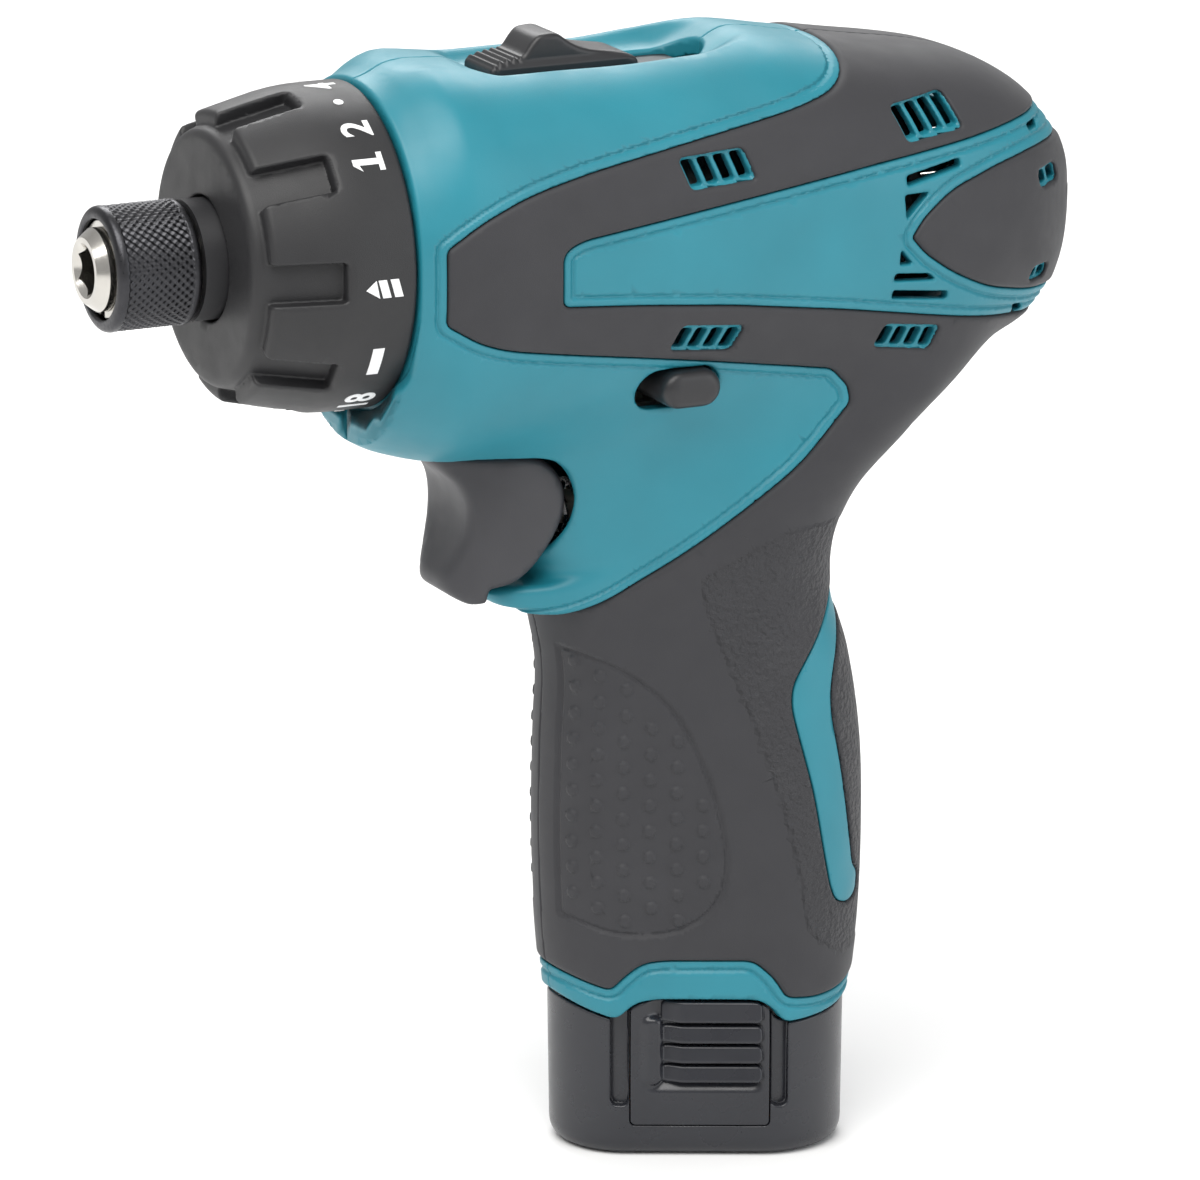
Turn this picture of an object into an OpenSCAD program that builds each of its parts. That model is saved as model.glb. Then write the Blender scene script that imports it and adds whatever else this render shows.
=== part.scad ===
// Compact cordless driver-drill with a slide-in battery. Millimetres.
// The nose points toward -X, the left side toward -Y and the top toward +Z.
// The origin is on the battery's flat underside, in the plane between the housing halves.

/* [Overall] */
// Height of the spindle axis above the underside
spindle_h = 145; // [144.5:0.25:145.5]
// Distance from the origin forward to the tip of the nose
nose_reach = 101; // [100.5:0.25:101]
// Half of the head's greatest width
head_half_w = 26.5; // [26.5:0.25:28]
// Thickness of the rubber overmould
rubber = 1.2; // [1:0.1:1.3]
// Distance from the outer surface to the housing's inner surface
wall = 3; // [2.8:0.1:3]

/* [Bit holder] */
// Across flats of the hexagonal bit socket
hex_flats = 6.45; // [6.4:0.01:6.5]
// Depth of the bit socket
hex_depth = 25; // [20:0.5:26]
// Radius of the spindle where the sleeve and the bush run
spindle_r = 6; // [5.9:0.05:6]
// Outer radius of the knurled sleeve
sleeve_r = 9.3; // [9:0.1:9.5]

/* [Clutch] */
// Outer radius of the clutch ring at its rear
ring_r = 24.3; // [24:0.1:24.5]
// Outer radius of the clutch ring at its front
ring_front_r = 19.6; // [19.2:0.1:20]
// Number of grip pockets round the clutch ring
ring_pockets = 9; // [6:1:10]

/* [Gear train] */
// Tooth module of every gear
gear_module = 0.7; // [0.7]
// Teeth on each sun gear
sun_teeth = 12; // [12]
// Teeth on each planet gear
planet_teeth = 15; // [15]
// Planet gears in each stage
planet_count = 3; // [3]

/* [Motor] */
// Outer radius of the motor can
motor_r = 16.4; // [15:0.1:16.5]

/* [Battery] */
// Height of the battery's base block
block_h = 22; // [21:0.5:22]
// Radius of each cell
cell_r = 8.5; // [8:0.1:8.5]
// Length of each cell
cell_len = 50; // [48:1:50]

/* [Hidden] */

gap = 0.3;
run_fit = 0.06;
tiny = 0.01;
far = 200;
round_fn = 64;
hull_fn = 24;
planet_turn = 360 / planet_count;

// Axial places, measured along X from the origin
nose_x = -nose_reach;
sleeve_front = nose_x + 2;
sleeve_rear = sleeve_front + 13;
sleeve_land = 4;
ring_front = -82.3;
ring_rear = -58.8;
case_front = ring_front - 3.2;
bush_front = -83.9;
bush_rear = -71.6;
flange_front = -58;
flange_rear = -55;
case_rear = -23;
output_plate_front = -51.5;
plate_thickness = 4;
output_planet_front = -47.2;
planet_w = 7.6;
input_plate_front = -37.2;
input_planet_front = -33;
shift_gear_front = -35;
shift_gear_w = 8.5;
plate_front = -20.8;
motor_front = -18.6;
motor_len = 36;
fan_x = 26;
bearing_x = 41.5;
bearing_w = 4;
bearing_r = 6.5;
shaft_r = 1.6;

// Radii of the gear train
snout_r = 9;
nose_bore_r = 6.8;
bush_r = 8;
case_r = 20.3;
case_bore_r = 18.3;
sun_pitch_r = gear_module * sun_teeth / 2;
planet_pitch_r = gear_module * planet_teeth / 2;
orbit_r = sun_pitch_r + planet_pitch_r;
annulus_teeth = sun_teeth + 2 * planet_teeth;
carrier_r = 13.2;
planet_pin_r = 1.5;
pin_circle_r = 16.6;
clutch_pin_r = 1.4;
clutch_pin_count = 6;
key_r = 15.2;

// Height of the selector's cover plate
cover_low = spindle_h + 22;
cover_top = spindle_h + 22.7;

// Cross-section of the battery: one round corner in front, two behind
cell_rear_x = 5;
cell_y = cell_r + 0.1;
cell_front_x = cell_rear_x - sqrt(3) * cell_y;
block_outline = [-13.6, 12, 5, 8.6, 12.4];
stick_outline = [-14.2, 8.8, 5, 8.6, 9.6];

// Handle stations: height, then front corner x and radius, rear corner x, y and radius
handle_stations = [
    [22, -14, 12.5, 5.2, 8.6, 13],
    [36, -14.8, 12.9, 6.2, 8.6, 13.5],
    [50, -15.2, 13, 6.6, 8.6, 13.6],
    [65, -15, 13, 6.2, 8.6, 13.5],
    [78, -14.5, 12.9, 5, 8.6, 13],
    [88, -17, 12, 3.4, 8.6, 11.6],
    [97, -17.5, 11.5, 3.6, 8.6, 11.4],
    [104, -20, 12, 6, 9, 12],
    [112, -25, 13, 13, 10, 13],
    [120, -29, 13, 21, 10, 13],
    [128, -30, 12, 22, 8, 12]
];

// Head stations: x, then the top and the bottom measured from the axis, and the half width
head_stations = [
    [-58.6, 26.2, 26.4, 25.4],
    [-52, 27.6, 32.4, 25.9],
    [-42, 26.8, 33.6, 26.3],
    [-20, 26.4, 30.5, head_half_w],
    [2, 28, 28, head_half_w],
    [16, 25.4, 25.6, 26.2],
    [30, 23.3, 24.6, 25],
    [40, 21.4, 23.4, 23],
    [48, 17, 22, 19.5],
    [53, 12.4, 19, 15.5],
    [57, 5, 12, 8]
];
head_power = 2.6;

// Side outlines, as x and z
band_outline = [
    [-55, 137], [-55, 149], [-44, 156], [-25, 160], [-2, 163.5], [8, 166], [12, 170],
    [8, 176], [62, 176], [62, 112], [16, 112], [12, 120], [7, 124], [-9, 126.5], [-35, 130]
];
label_outline = [
    [-36, 140], [-36, 146.5], [-22, 150], [2, 153.5], [40, 159.5], [47, 155],
    [36, 151], [24, 143], [28, 137], [38, 134], [46, 133], [40, 131], [-22, 138]
];
handle_outline = [
    [-34, 31.5], [-34, 77], [-27, 86], [-19, 94], [0, 106], [12, 120], [40, 121],
    [40, 29], [5, 27], [0, 34], [-19, 34], [-24, 30]
];
trigger_outline = [
    [-46.8, 91], [-45.4, 96], [-43.6, 102], [-44.6, 108], [-41, 112.6], [-24.8, 112.6],
    [-24.8, 89.6], [-44, 89.6]
];

// Screws: x and z of each one
screw_places = [[-48, 117], [-19.5, 80], [10.5, 84], [17, 118], [47, 129], [46, 158], [-25, 118]];
screw_boss_r = 3.2;
head_boss_r = 4.4;

// ---------------------------------------------------------------- shared shapes

// Turns a shape built along Z so that it runs rearward along the spindle axis from x
module along_axis(x) {
    translate([x, 0, spindle_h]) rotate([0, 90, 0]) children();
}

// A round bar along the spindle axis
module axis_bar(from_x, to_x, r) {
    along_axis(from_x) cylinder(h = to_x - from_x, r = r, $fn = round_fn);
}

// A round tube along the spindle axis
module axis_tube(from_x, to_x, outer_r, inner_r) {
    difference() {
        axis_bar(from_x, to_x, outer_r);
        axis_bar(from_x - 1, to_x + 1, inner_r);
    }
}

// Repeats a shape at each planet's place round the axis
module at_planet(turn) {
    rotate([0, 0, turn]) translate([orbit_r, 0, 0]) children();
}

function polar(r, a) = [r * cos(a), r * sin(a)];

// One gear tooth or tooth space, centred on the X axis
module tooth(teeth, root_r, pitch_r, tip_r, share) {
    half = share * 180 / teeth;
    polygon([
        polar(root_r, -half * 1.5), polar(pitch_r, -half), polar(tip_r, -half * 0.55),
        polar(tip_r, half * 0.55), polar(pitch_r, half), polar(root_r, half * 1.5)
    ]);
}

module gear_outline(teeth) {
    pitch_r = gear_module * teeth / 2;
    root_r = pitch_r - 1.2 * gear_module;
    circle(r = root_r, $fn = round_fn);
    for (i = [0:teeth - 1]) {
        rotate(i * 360 / teeth) tooth(teeth, root_r - 0.2, pitch_r, pitch_r + 0.85 * gear_module, 0.42);
    }
}

// The hole of an internal gear, with a tooth space centred on the X axis
module annulus_outline() {
    pitch_r = gear_module * annulus_teeth / 2;
    tip_r = pitch_r - 0.85 * gear_module;
    circle(r = tip_r, $fn = round_fn);
    for (i = [0:annulus_teeth - 1]) {
        rotate(i * 360 / annulus_teeth)
            tooth(annulus_teeth, tip_r - 0.2, pitch_r, pitch_r + 1.15 * gear_module, 0.56);
    }
}

module annulus(x, w, outer_r) {
    along_axis(x) difference() {
        cylinder(h = w, r = outer_r, $fn = round_fn);
        translate([0, 0, -1]) linear_extrude(w + 2) annulus_outline();
    }
}

// A planet gear on its pin, with a tooth pointing away from the sun
module planet(x, turn) {
    along_axis(x) at_planet(turn) difference() {
        linear_extrude(planet_w) gear_outline(planet_teeth);
        translate([0, 0, -1]) cylinder(h = planet_w + 2, r = planet_pin_r + run_fit, $fn = round_fn);
    }
}

// A carrier plate with its planet pins pointing rearward
module carrier(x) {
    axis_bar(x, x + plate_thickness, carrier_r);
    along_axis(x + plate_thickness) {
        for (i = [0:planet_count - 1]) {
            at_planet(i * planet_turn) cylinder(h = planet_w + 0.8, r = planet_pin_r, $fn = round_fn);
        }
    }
}

// A coil spring along Z, as one closed swept tube
module coil(mean_r, wire_r, length, turns) {
    sides = 6;
    steps = 12;
    count = turns * steps;
    rise = (length - 2 * wire_r) / count;
    points = [
        for (i = [0:count], k = [0:sides - 1])
            let (a = i * 360 / steps, b = k * 360 / sides, r = mean_r + wire_r * cos(b))
                [r * cos(a), r * sin(a), wire_r + i * rise + wire_r * sin(b)]
    ];
    walls = [
        for (i = [0:count - 1], k = [0:sides - 1])
            let (n = (k + 1) % sides)
                [i * sides + k, i * sides + n, (i + 1) * sides + n, (i + 1) * sides + k]
    ];
    first = [for (k = [sides - 1:-1:0]) k];
    last = [for (k = [0:sides - 1]) count * sides + k];
    polyhedron(points = points, faces = concat([first], walls, [last]), convexity = 8);
}

// The direction of the flat between two round corners of an outline
function flat_angle(o) = atan2(o[3], o[2] - o[0]) - asin((o[4] - o[1]) / norm([o[2] - o[0], o[3]]));

// A rounded triangle: o holds front x, front radius, rear x, rear y and rear radius
module pear(o, inset = 0) {
    hull() {
        translate([o[0], 0]) circle(r = o[1] - inset, $fn = hull_fn);
        for (side = [-1, 1]) {
            translate([o[2], side * o[3]]) circle(r = o[4] - inset, $fn = hull_fn);
        }
    }
}

// A closed solid through rings that all have the same number of points
module loft(rings) {
    count = len(rings[0]);
    last = len(rings) - 1;
    points = [for (ring = rings) for (p = ring) p];
    walls = [
        for (i = [0:last - 1], k = [0:count - 1])
            let (n = (k + 1) % count)
                [i * count + k, i * count + n, (i + 1) * count + n, (i + 1) * count + k]
    ];
    first = [for (k = [count - 1:-1:0]) k];
    end = [for (k = [0:count - 1]) last * count + k];
    polyhedron(points = points, faces = concat([first], walls, [end]), convexity = 6);
}

// ---------------------------------------------------------------- housing and grips

ring_step = 360 / 36;

// One ring of the head, square to the spindle axis
function head_ring(s, inset) = [
    for (a = [0:ring_step:360 - ring_step])
        let (reach = (sin(a) > 0 ? s[1] : s[2]) - inset)
            [s[0],
             -sign(cos(a)) * (s[3] - inset) * pow(abs(cos(a)), 2 / head_power),
             spindle_h + sign(sin(a)) * reach * pow(abs(sin(a)), 2 / head_power)]
];

module head_solid(inset) {
    last = len(head_stations) - 1;
    loft([
        for (i = [0:last])
            head_ring(head_stations[i] + [i == 0 ? inset : i == last ? -inset : 0, 0, 0, 0], inset)
    ]);
}

// The corner of a handle station that reaches furthest in direction n
function corner_point(s, inset, n) =
    let (
        corners = [[s[1], 0, s[2]], [s[3], s[4], s[5]], [s[3], -s[4], s[5]]],
        reach = [for (c = corners) c[0] * n[0] + c[1] * n[1] + c[2]],
        best = reach[0] >= max(reach) ? 0 : reach[1] >= reach[2] ? 1 : 2,
        c = corners[best]
    ) [c[0] + (c[2] - inset) * n[0], c[1] + (c[2] - inset) * n[1], s[0]];

function handle_ring(s, inset) = [
    for (a = [0:ring_step:360 - ring_step]) corner_point(s, inset, [cos(a + 1), -sin(a + 1)])
];

module handle_solid(inset) {
    last = len(handle_stations) - 1;
    loft([
        for (i = [0:last])
            handle_ring(handle_stations[i] - [i == 0 ? 2 * inset : 0, 0, 0, 0, 0, 0], inset)
    ]);
}

// The lip under the trigger
module trigger_lip() {
    hull() {
        translate([-37.5, 0, 87.6]) rotate([90, 0, 0]) cylinder(h = 12, r = 1.6, center = true, $fn = hull_fn);
        translate([-16, 0, 80]) cylinder(h = 9, r = 11, $fn = hull_fn);
    }
}

module body_solid(inset) {
    head_solid(inset);
    handle_solid(inset);
}

// A side outline as a block right through the tool
module side_block(outline) {
    rotate([90, 0, 0]) linear_extrude(far, center = true) polygon(outline);
}

module half_space(side) {
    translate([-far / 2, side > 0 ? 0 : -far, -far / 2]) cube([far, far, 2 * far]);
}

// The four groups of cooling slots on each side: x and z of each group's middle
vent_places = [[-11, 156], [23, 161.5], [-13, 130], [21, 129]];

module vents() {
    for (v = vent_places) {
        for (i = [-1.5:1:1.5]) {
            translate([v[0] + i * 2.5, 0, v[1]]) rotate([90, 0, 0]) hull() {
                for (end = [-1, 1]) {
                    translate([0, end * 1.5, 0]) cylinder(h = far, r = 0.75, center = true, $fn = 8);
                }
            }
        }
    }
}

// The space for the parts that pass through the housing wall
module housing_openings() {
    // Clutch end, where the gear case flange shows inside the ring
    axis_bar(flange_front - 6, -50, 21.6);
    // Selector slot in the top
    translate([-38.7, -5.6, spindle_h + 20]) cube([33.2, 11.2, 15]);
    // Trigger opening
    translate([-60, -11.2, 89.2]) cube([42, 22.4, 23.8]);
    // Reverse lever hole, right through
    translate([-15.8, 0, 123.5]) rotate([90, 0, 0]) oval_bar(13.4, 6.8, far);
}

// A bar with round ends, centred, its length along X
module oval_bar(length, height, depth) {
    for (side = [-1, 1]) {
        translate([side * (length - height) / 2, 0, 0])
            cylinder(h = depth, r = height / 2, center = true, $fn = round_fn);
    }
    cube([length - height, height, depth], center = true);
}

// Openings over the battery latches
module latch_openings(width, top) {
    for (side = [-1, 1]) {
        at_latch(side) translate([-width / 2, -9, -1]) cube([width, 12, top + 1]);
    }
}

// A frame at the middle of one slanted battery side: local +Y points inward
module at_latch(side) {
    angle = flat_angle(block_outline);
    mid_x = -8.7;
    mid_y = 15.6;
    mirror([0, side > 0 ? 1 : 0, 0])
        translate([mid_x, -mid_y, 0]) rotate([0, 0, -angle]) children();
}

module grip_region() {
    difference() {
        union() {
            side_block(band_outline);
            side_block(handle_outline);
        }
        side_block(label_outline);
    }
}

// The overmould's space, open outward
module grip_cutter() {
    difference() {
        grip_region();
        body_solid(rubber);
    }
}

module screw_bosses(side) {
    for (p = screw_places) {
        translate([p[0], 0, p[1]]) rotate([side > 0 ? -90 : 90, 0, 0])
            cylinder(h = 30, r = side > 0 ? head_boss_r : screw_boss_r, $fn = 16);
    }
}

module screw_holes(side) {
    for (p = screw_places) {
        translate([p[0], 0, p[1]]) {
            rotate([-90, 0, 0]) translate([0, 0, -10.5]) cylinder(h = 20, r = 1.55, $fn = 12);
            if (side > 0) {
                rotate([-90, 0, 0]) translate([0, 0, 7]) cylinder(h = 40, r = 3.1, $fn = 12);
            }
        }
    }
}

// Ribs that hold the motor can and the rear bearing
module housing_ribs() {
    difference() {
        for (x = [-6, 12]) {
            axis_tube(x, x + 2, 24.4, motor_r + gap / 3);
        }
        // Room for the selector's cover plate
        translate([-10, -8.6, spindle_h + 21.8]) cube([16, 17.2, 4]);
    }
    axis_tube(bearing_x, bearing_x + bearing_w, 30, bearing_r + run_fit);
}

module housing_half(side) {
    difference() {
        intersection() {
            union() {
                difference() {
                    body_solid(0);
                    body_solid(wall);
                }
                difference() {
                    trigger_lip();
                    body_solid(wall);
                }
                intersection() {
                    body_solid(wall - 0.2);
                    union() {
                        screw_bosses(side);
                        housing_ribs();
                    }
                }
            }
            half_space(side);
        }
        grip_cutter();
        housing_openings();
        vents();
        latch_openings(28, 27.5);
        screw_holes(side);
        translate([0, 0, 21]) linear_extrude(3) pear(stick_outline, -gap);
    }
}

module housing_left() {
    color([0.16, 0.55, 0.63]) housing_half(-1);
}

module housing_right() {
    color([0.16, 0.55, 0.63]) housing_half(1);
}

module grip_half(side) {
    difference() {
        intersection() {
            body_solid(0);
            grip_region();
            half_space(side);
        }
        body_solid(rubber);
        housing_openings();
        vents();
        latch_openings(28, 27.5);
        if (side > 0) {
            screw_holes(side);
        }
    }
}

module grip_left() {
    color([0.22, 0.22, 0.23]) grip_half(-1);
}

module grip_right() {
    color([0.22, 0.22, 0.23]) grip_half(1);
}

module housing_screws() {
    color("dimgray") for (p = screw_places) {
        translate([p[0], 0, p[1]]) rotate([-90, 0, 0]) {
            translate([0, 0, -9]) cylinder(h = 16.2, r = 1.45, $fn = 24);
            difference() {
                translate([0, 0, 7.1]) cylinder(h = 2, r = 2.8, $fn = 32);
                translate([0, 0, 8.2]) cube([0.8, 3, 2], center = true);
                translate([0, 0, 8.2]) cube([3, 0.8, 2], center = true);
            }
        }
    }
}

// ---------------------------------------------------------------- nose and clutch

module gear_case() {
    color([0.28, 0.28, 0.3]) difference() {
        union() {
            axis_bar(flange_front, flange_rear + 4, 21.3);
            axis_bar(flange_rear, case_rear, case_r);
        }
        axis_bar(flange_front - 1, -57, nose_bore_r);
        axis_bar(-57.5, -52, 14.2);
        axis_bar(-52.5, case_rear + 1, case_bore_r);
        along_axis(flange_front - 1) for (i = [0:clutch_pin_count - 1]) {
            rotate(i * 360 / clutch_pin_count) translate([pin_circle_r, 0, 0])
                cylinder(h = 8, r = clutch_pin_r + run_fit, $fn = 32);
        }
        // Slots for the ends of the shift wire
        translate([-32.6, -far / 2, spindle_h - 1]) cube([6.8, far, 2]);
    }
}

// The tube in front of the gear case that carries the bush and guides the adjusting nut
module case_nose() {
    color([0.28, 0.28, 0.3]) difference() {
        axis_bar(case_front, flange_front, snout_r);
        axis_bar(case_front - 1, flange_front + 1, nose_bore_r);
        axis_bar(bush_front - 0.1, bush_rear + 0.1, bush_r);
    }
}

module front_bush() {
    color("peru") axis_tube(bush_front, bush_rear, bush_r, spindle_r + run_fit);
}

module clutch_ring_profile() {
    polygon([
        [snout_r + gap, 0], [ring_front_r - 1.2, 0], [ring_front_r, 1.2], [ring_r, 16],
        [ring_r, ring_rear - ring_front], [ring_r - 2.4, ring_rear - ring_front],
        [ring_r - 2.4, 14], [ring_front_r - 2.2, 2.6], [snout_r + gap, 2.6]
    ]);
}

module clutch_ring() {
    pocket_len = 10;
    color([0.13, 0.13, 0.14]) along_axis(ring_front) {
        difference() {
            rotate_extrude($fn = 96) clutch_ring_profile();
            for (i = [0:ring_pockets - 1]) {
                rotate([0, 0, i * 360 / ring_pockets - 90])
                    translate([ring_front_r - 0.4, 0, 2.5]) rotate([0, 16, 0])
                        translate([0, -2.4, 0]) cube([6, 4.8, pocket_len]);
            }
        }
        // Two keys that carry the adjusting nut round
        for (turn = [0, 180]) {
            rotate([0, 0, turn]) translate([key_r, -1.4, 2.4]) cube([18.6 - key_r, 2.8, 14]);
        }
    }
}

module adjusting_nut() {
    color("silver") difference() {
        axis_tube(-74, -70.5, 16.2, snout_r + 0.08);
        for (side = [-1, 1]) {
            translate([-75, -1.4 - gap, spindle_h + side * (key_r + 1.7) - 2]) cube([6, 2.8 + 2 * gap, 4]);
        }
    }
}

module clutch_spring() {
    color("gainsboro") along_axis(-70.5) coil(13, 0.9, 9.9, 4.5);
}

module clutch_washer() {
    color("silver") axis_tube(-60.5, -59.3, 17.9, 10.5);
}

module clutch_pins() {
    color("silver") along_axis(-59.3) for (i = [0:clutch_pin_count - 1]) {
        rotate(i * 360 / clutch_pin_count) translate([pin_circle_r, 0, 0])
            cylinder(h = 12.3, r = clutch_pin_r, $fn = 32);
    }
}

module clutch_gear() {
    color("slategray") annulus(-47, 9.4, case_bore_r - 0.1);
}

module spindle_profile() {
    polygon([
        [0, 0], [4.9, 0], [6.2, 1.6], [6.2, 2.7], [5.5, 2.7], [5.5, 3.7], [spindle_r, 3.7],
        [spindle_r, 49.4], [4.5, 49.4], [4.5, 53.4], [0, 53.4]
    ]);
}

module spindle() {
    color("silver") difference() {
        along_axis(nose_x) rotate_extrude($fn = round_fn) spindle_profile();
        along_axis(nose_x - 1) cylinder(h = hex_depth + 1, d = hex_flats / cos(30), $fn = 6);
        along_axis(nose_x - 0.6) cylinder(h = 1.6, r1 = 4.6, r2 = 3.2, $fn = round_fn);
        translate([-88, 0, spindle_h]) rotate([90, 0, 0])
            cylinder(h = 20, r = 1.7, center = true, $fn = 32);
    }
}

module retaining_ring() {
    color("whitesmoke") difference() {
        axis_tube(nose_x + 2.8, nose_x + 3.6, 7.1, 5.5);
        translate([nose_x + 2, -0.8, spindle_h - 9]) cube([3, 1.6, 5]);
    }
}

module sleeve_washer() {
    color("silver") axis_tube(nose_x + 3.7, nose_x + 4.5, 7.9, spindle_r + run_fit);
}

module bit_sleeve() {
    color([0.12, 0.12, 0.13]) difference() {
        axis_bar(sleeve_front, sleeve_rear, sleeve_r);
        axis_bar(sleeve_front - 1, sleeve_rear - sleeve_land, 8.2);
        axis_bar(sleeve_front, sleeve_rear + 1, spindle_r + run_fit);
    }
}

module sleeve_spring() {
    color("gainsboro") along_axis(nose_x + 4.5) coil(7.1, 0.4, sleeve_rear - sleeve_land - nose_x - 4.5, 5);
}

module bit_balls() {
    color("whitesmoke") for (side = [-1, 1]) {
        translate([-88, side * 4.4, spindle_h]) sphere(r = 1.6, $fn = 32);
    }
}

// ---------------------------------------------------------------- gear train

module output_carrier() {
    color("lightsteelblue") difference() {
        carrier(output_plate_front);
        axis_bar(output_plate_front - 1, output_plate_front + plate_thickness + 1, 4.5);
    }
}

module output_planet(index) {
    color("lightgray") planet(output_planet_front, index * planet_turn);
}

module input_carrier() {
    color("lightsteelblue") {
        carrier(input_plate_front);
        along_axis(output_planet_front) linear_extrude(input_plate_front - output_planet_front + tiny)
            gear_outline(sun_teeth);
    }
}

module input_planet(index) {
    color("lightgray") planet(input_planet_front, index * planet_turn);
}

module shift_gear() {
    color("slategray") difference() {
        annulus(shift_gear_front, shift_gear_w, case_bore_r - 0.1);
        axis_tube(-31.4, -29.2, 20, 17.1);
    }
}

// Half a hoop round the gear case, with two ends in the gear's groove and a leg to the selector
module shift_wire() {
    hoop_r = 21.15;
    wire_r = 0.65;
    color("silver") translate([-30.3, 0, 0]) {
        along_axis(0) rotate([0, 0, 90]) rotate_extrude(angle = 180, $fn = round_fn)
            translate([hoop_r, 0]) circle(r = wire_r, $fn = 24);
        for (side = [-1, 1]) {
            translate([0, side * (hoop_r + wire_r), spindle_h]) rotate([side * 90, 0, 0])
                cylinder(h = 4.2, r = wire_r, $fn = 24);
        }
        translate([0, 0, spindle_h + hoop_r]) cylinder(h = 1.45, r = wire_r, $fn = 24);
    }
}

module selector_plate() {
    color([0.1, 0.1, 0.11]) difference() {
        translate([-46.6, -8, cover_low]) cube([41.5, 16, cover_top - cover_low]);
        translate([-34.6, -1.1, spindle_h + 21]) cube([5.4, 2.2, 3]);
    }
}

module selector_lever() {
    low = spindle_h + 23.3;
    base = cover_top;
    color([0.12, 0.12, 0.13]) {
        rotate([90, 0, 0]) linear_extrude(9.6, center = true) polygon([
            [-38, base], [-38, low + 2.4], [-36.5, low + 3.2], [-32.4, low + 3.5], [-31, low + 6],
            [-28.8, low + 6.2], [-24, low + 4], [-15, low + 3.4], [-14, low + 2.4], [-14, base]
        ]);
        for (i = [0:4]) {
            translate([-36.6 + i * 0.95, -4, low + 3]) cube([0.4, 8, 0.75]);
        }
    }
}

// ---------------------------------------------------------------- motor

module motor_plate() {
    color("darkgray") axis_tube(plate_front, motor_front, 19.6, 6);
}

module motor_can() {
    color("gray") difference() {
        axis_bar(motor_front, motor_front + motor_len, motor_r);
        axis_bar(motor_front - 1, motor_front + 3.5, 5);
        axis_bar(motor_front + 3, motor_front + motor_len + 1, motor_r - 1.2);
        for (turn = [0:60:300]) {
            along_axis(motor_front - 1) rotate([0, 0, turn + 30]) translate([10.5, 0, 0])
                cylinder(h = 6, r = 2, $fn = 24);
        }
    }
}

module motor_magnets() {
    color([0.35, 0.35, 0.38]) along_axis(motor_front + 4.5) for (turn = [20, 200]) {
        rotate([0, 0, turn]) rotate_extrude(angle = 140, $fn = round_fn)
            translate([13.2, 0]) square([motor_r - 1.2 - 13.2, 26]);
    }
}

module end_bell() {
    bell_x = motor_front + motor_len;
    color([0.15, 0.15, 0.16]) difference() {
        union() {
            axis_bar(bell_x - 3, bell_x, motor_r - 1.25);
            axis_bar(bell_x, bell_x + 3, motor_r);
        }
        axis_bar(bell_x - 4, bell_x + 4, 3);
        for (turn = [0, 180]) {
            along_axis(bell_x - 4) rotate([0, 0, turn]) translate([10, -3, 0]) cube([4, 6, 8]);
        }
    }
}

module motor_brushes() {
    color([0.25, 0.24, 0.24]) for (side = [-1, 1]) {
        translate([9.5, side * 9 - 2.4, spindle_h - 1.8]) cube([4.2, 4.8, 3.6]);
    }
}

module armature() {
    slots = 6;
    color("darkgray") along_axis(motor_front + 6) difference() {
        cylinder(h = 20, r = 12.6, $fn = round_fn);
        translate([0, 0, -1]) cylinder(h = 22, r = shaft_r, $fn = 32);
        for (i = [0:slots - 1]) {
            rotate([0, 0, i * 360 / slots]) translate([0, 0, -1]) {
                translate([9.2, 0, 0]) cylinder(h = 22, r = 2.6, $fn = 24);
                translate([9, -0.7, 0]) cube([5, 1.4, 22]);
            }
        }
    }
}

module commutator() {
    color("chocolate") axis_tube(8.6, 14.2, 5.8, shaft_r);
}

module motor_shaft() {
    color("silver") {
        axis_bar(-33.2, bearing_x + bearing_w + 0.7, shaft_r);
        along_axis(-33.2) linear_extrude(11.6) gear_outline(sun_teeth);
        axis_bar(-17.5, -13.2, 2.4);
    }
}

module motor_fan() {
    blades = 11;
    color([0.2, 0.2, 0.22]) along_axis(fan_x) {
        difference() {
            cylinder(h = 1.4, r = 16, $fn = round_fn);
            translate([0, 0, -1]) cylinder(h = 9, r = shaft_r, $fn = 32);
        }
        difference() {
            cylinder(h = 8, r = 4, $fn = 32);
            translate([0, 0, -1]) cylinder(h = 12, r = shaft_r, $fn = 32);
        }
        for (i = [0:blades - 1]) {
            rotate([0, 0, i * 360 / blades]) translate([3.6, -0.5, 1]) cube([12, 1, 7]);
        }
    }
}

module rear_bearing() {
    color("silver") axis_tube(bearing_x, bearing_x + bearing_w, bearing_r, shaft_r + run_fit / 2);
}

// ---------------------------------------------------------------- controls

module reverse_lever() {
    color([0.13, 0.13, 0.14]) difference() {
        translate([-14.6, -3, 123.5]) rotate([90, 0, 0]) oval_bar(9.6, 5.8, 44);
        // Notch for the reverse arm's pin
        translate([-16.6, -4.5, 119]) cube([5.4, 3, 4]);
    }
}

module reverse_arm() {
    pivot_x = 2;
    swing = 10.8;
    color([0.75, 0.72, 0.66]) translate([pivot_x, 0, 0]) rotate([0, 0, swing]) {
        translate([-8, 0, 116.2]) oval_arm();
        translate([-16, 0, 116.2]) cylinder(h = 6.2, r = 1.2, $fn = 32);
    }
}

module oval_arm() {
    difference() {
        oval_bar(22, 6, 2.4);
        translate([8, 0, 0]) cylinder(h = 6, r = 1.56, center = true, $fn = 32);
    }
}

module switch_body() {
    color([0.14, 0.14, 0.15]) difference() {
        union() {
            translate([-17, -9, 90]) cube([27, 18, 24.6]);
            translate([2, 0, 114]) cylinder(h = 4.2, r = 1.5, $fn = 32);
        }
        translate([-18, 0, 101]) rotate([0, 90, 0]) cylinder(h = 17, r = 2.58, $fn = round_fn);
    }
}

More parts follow.
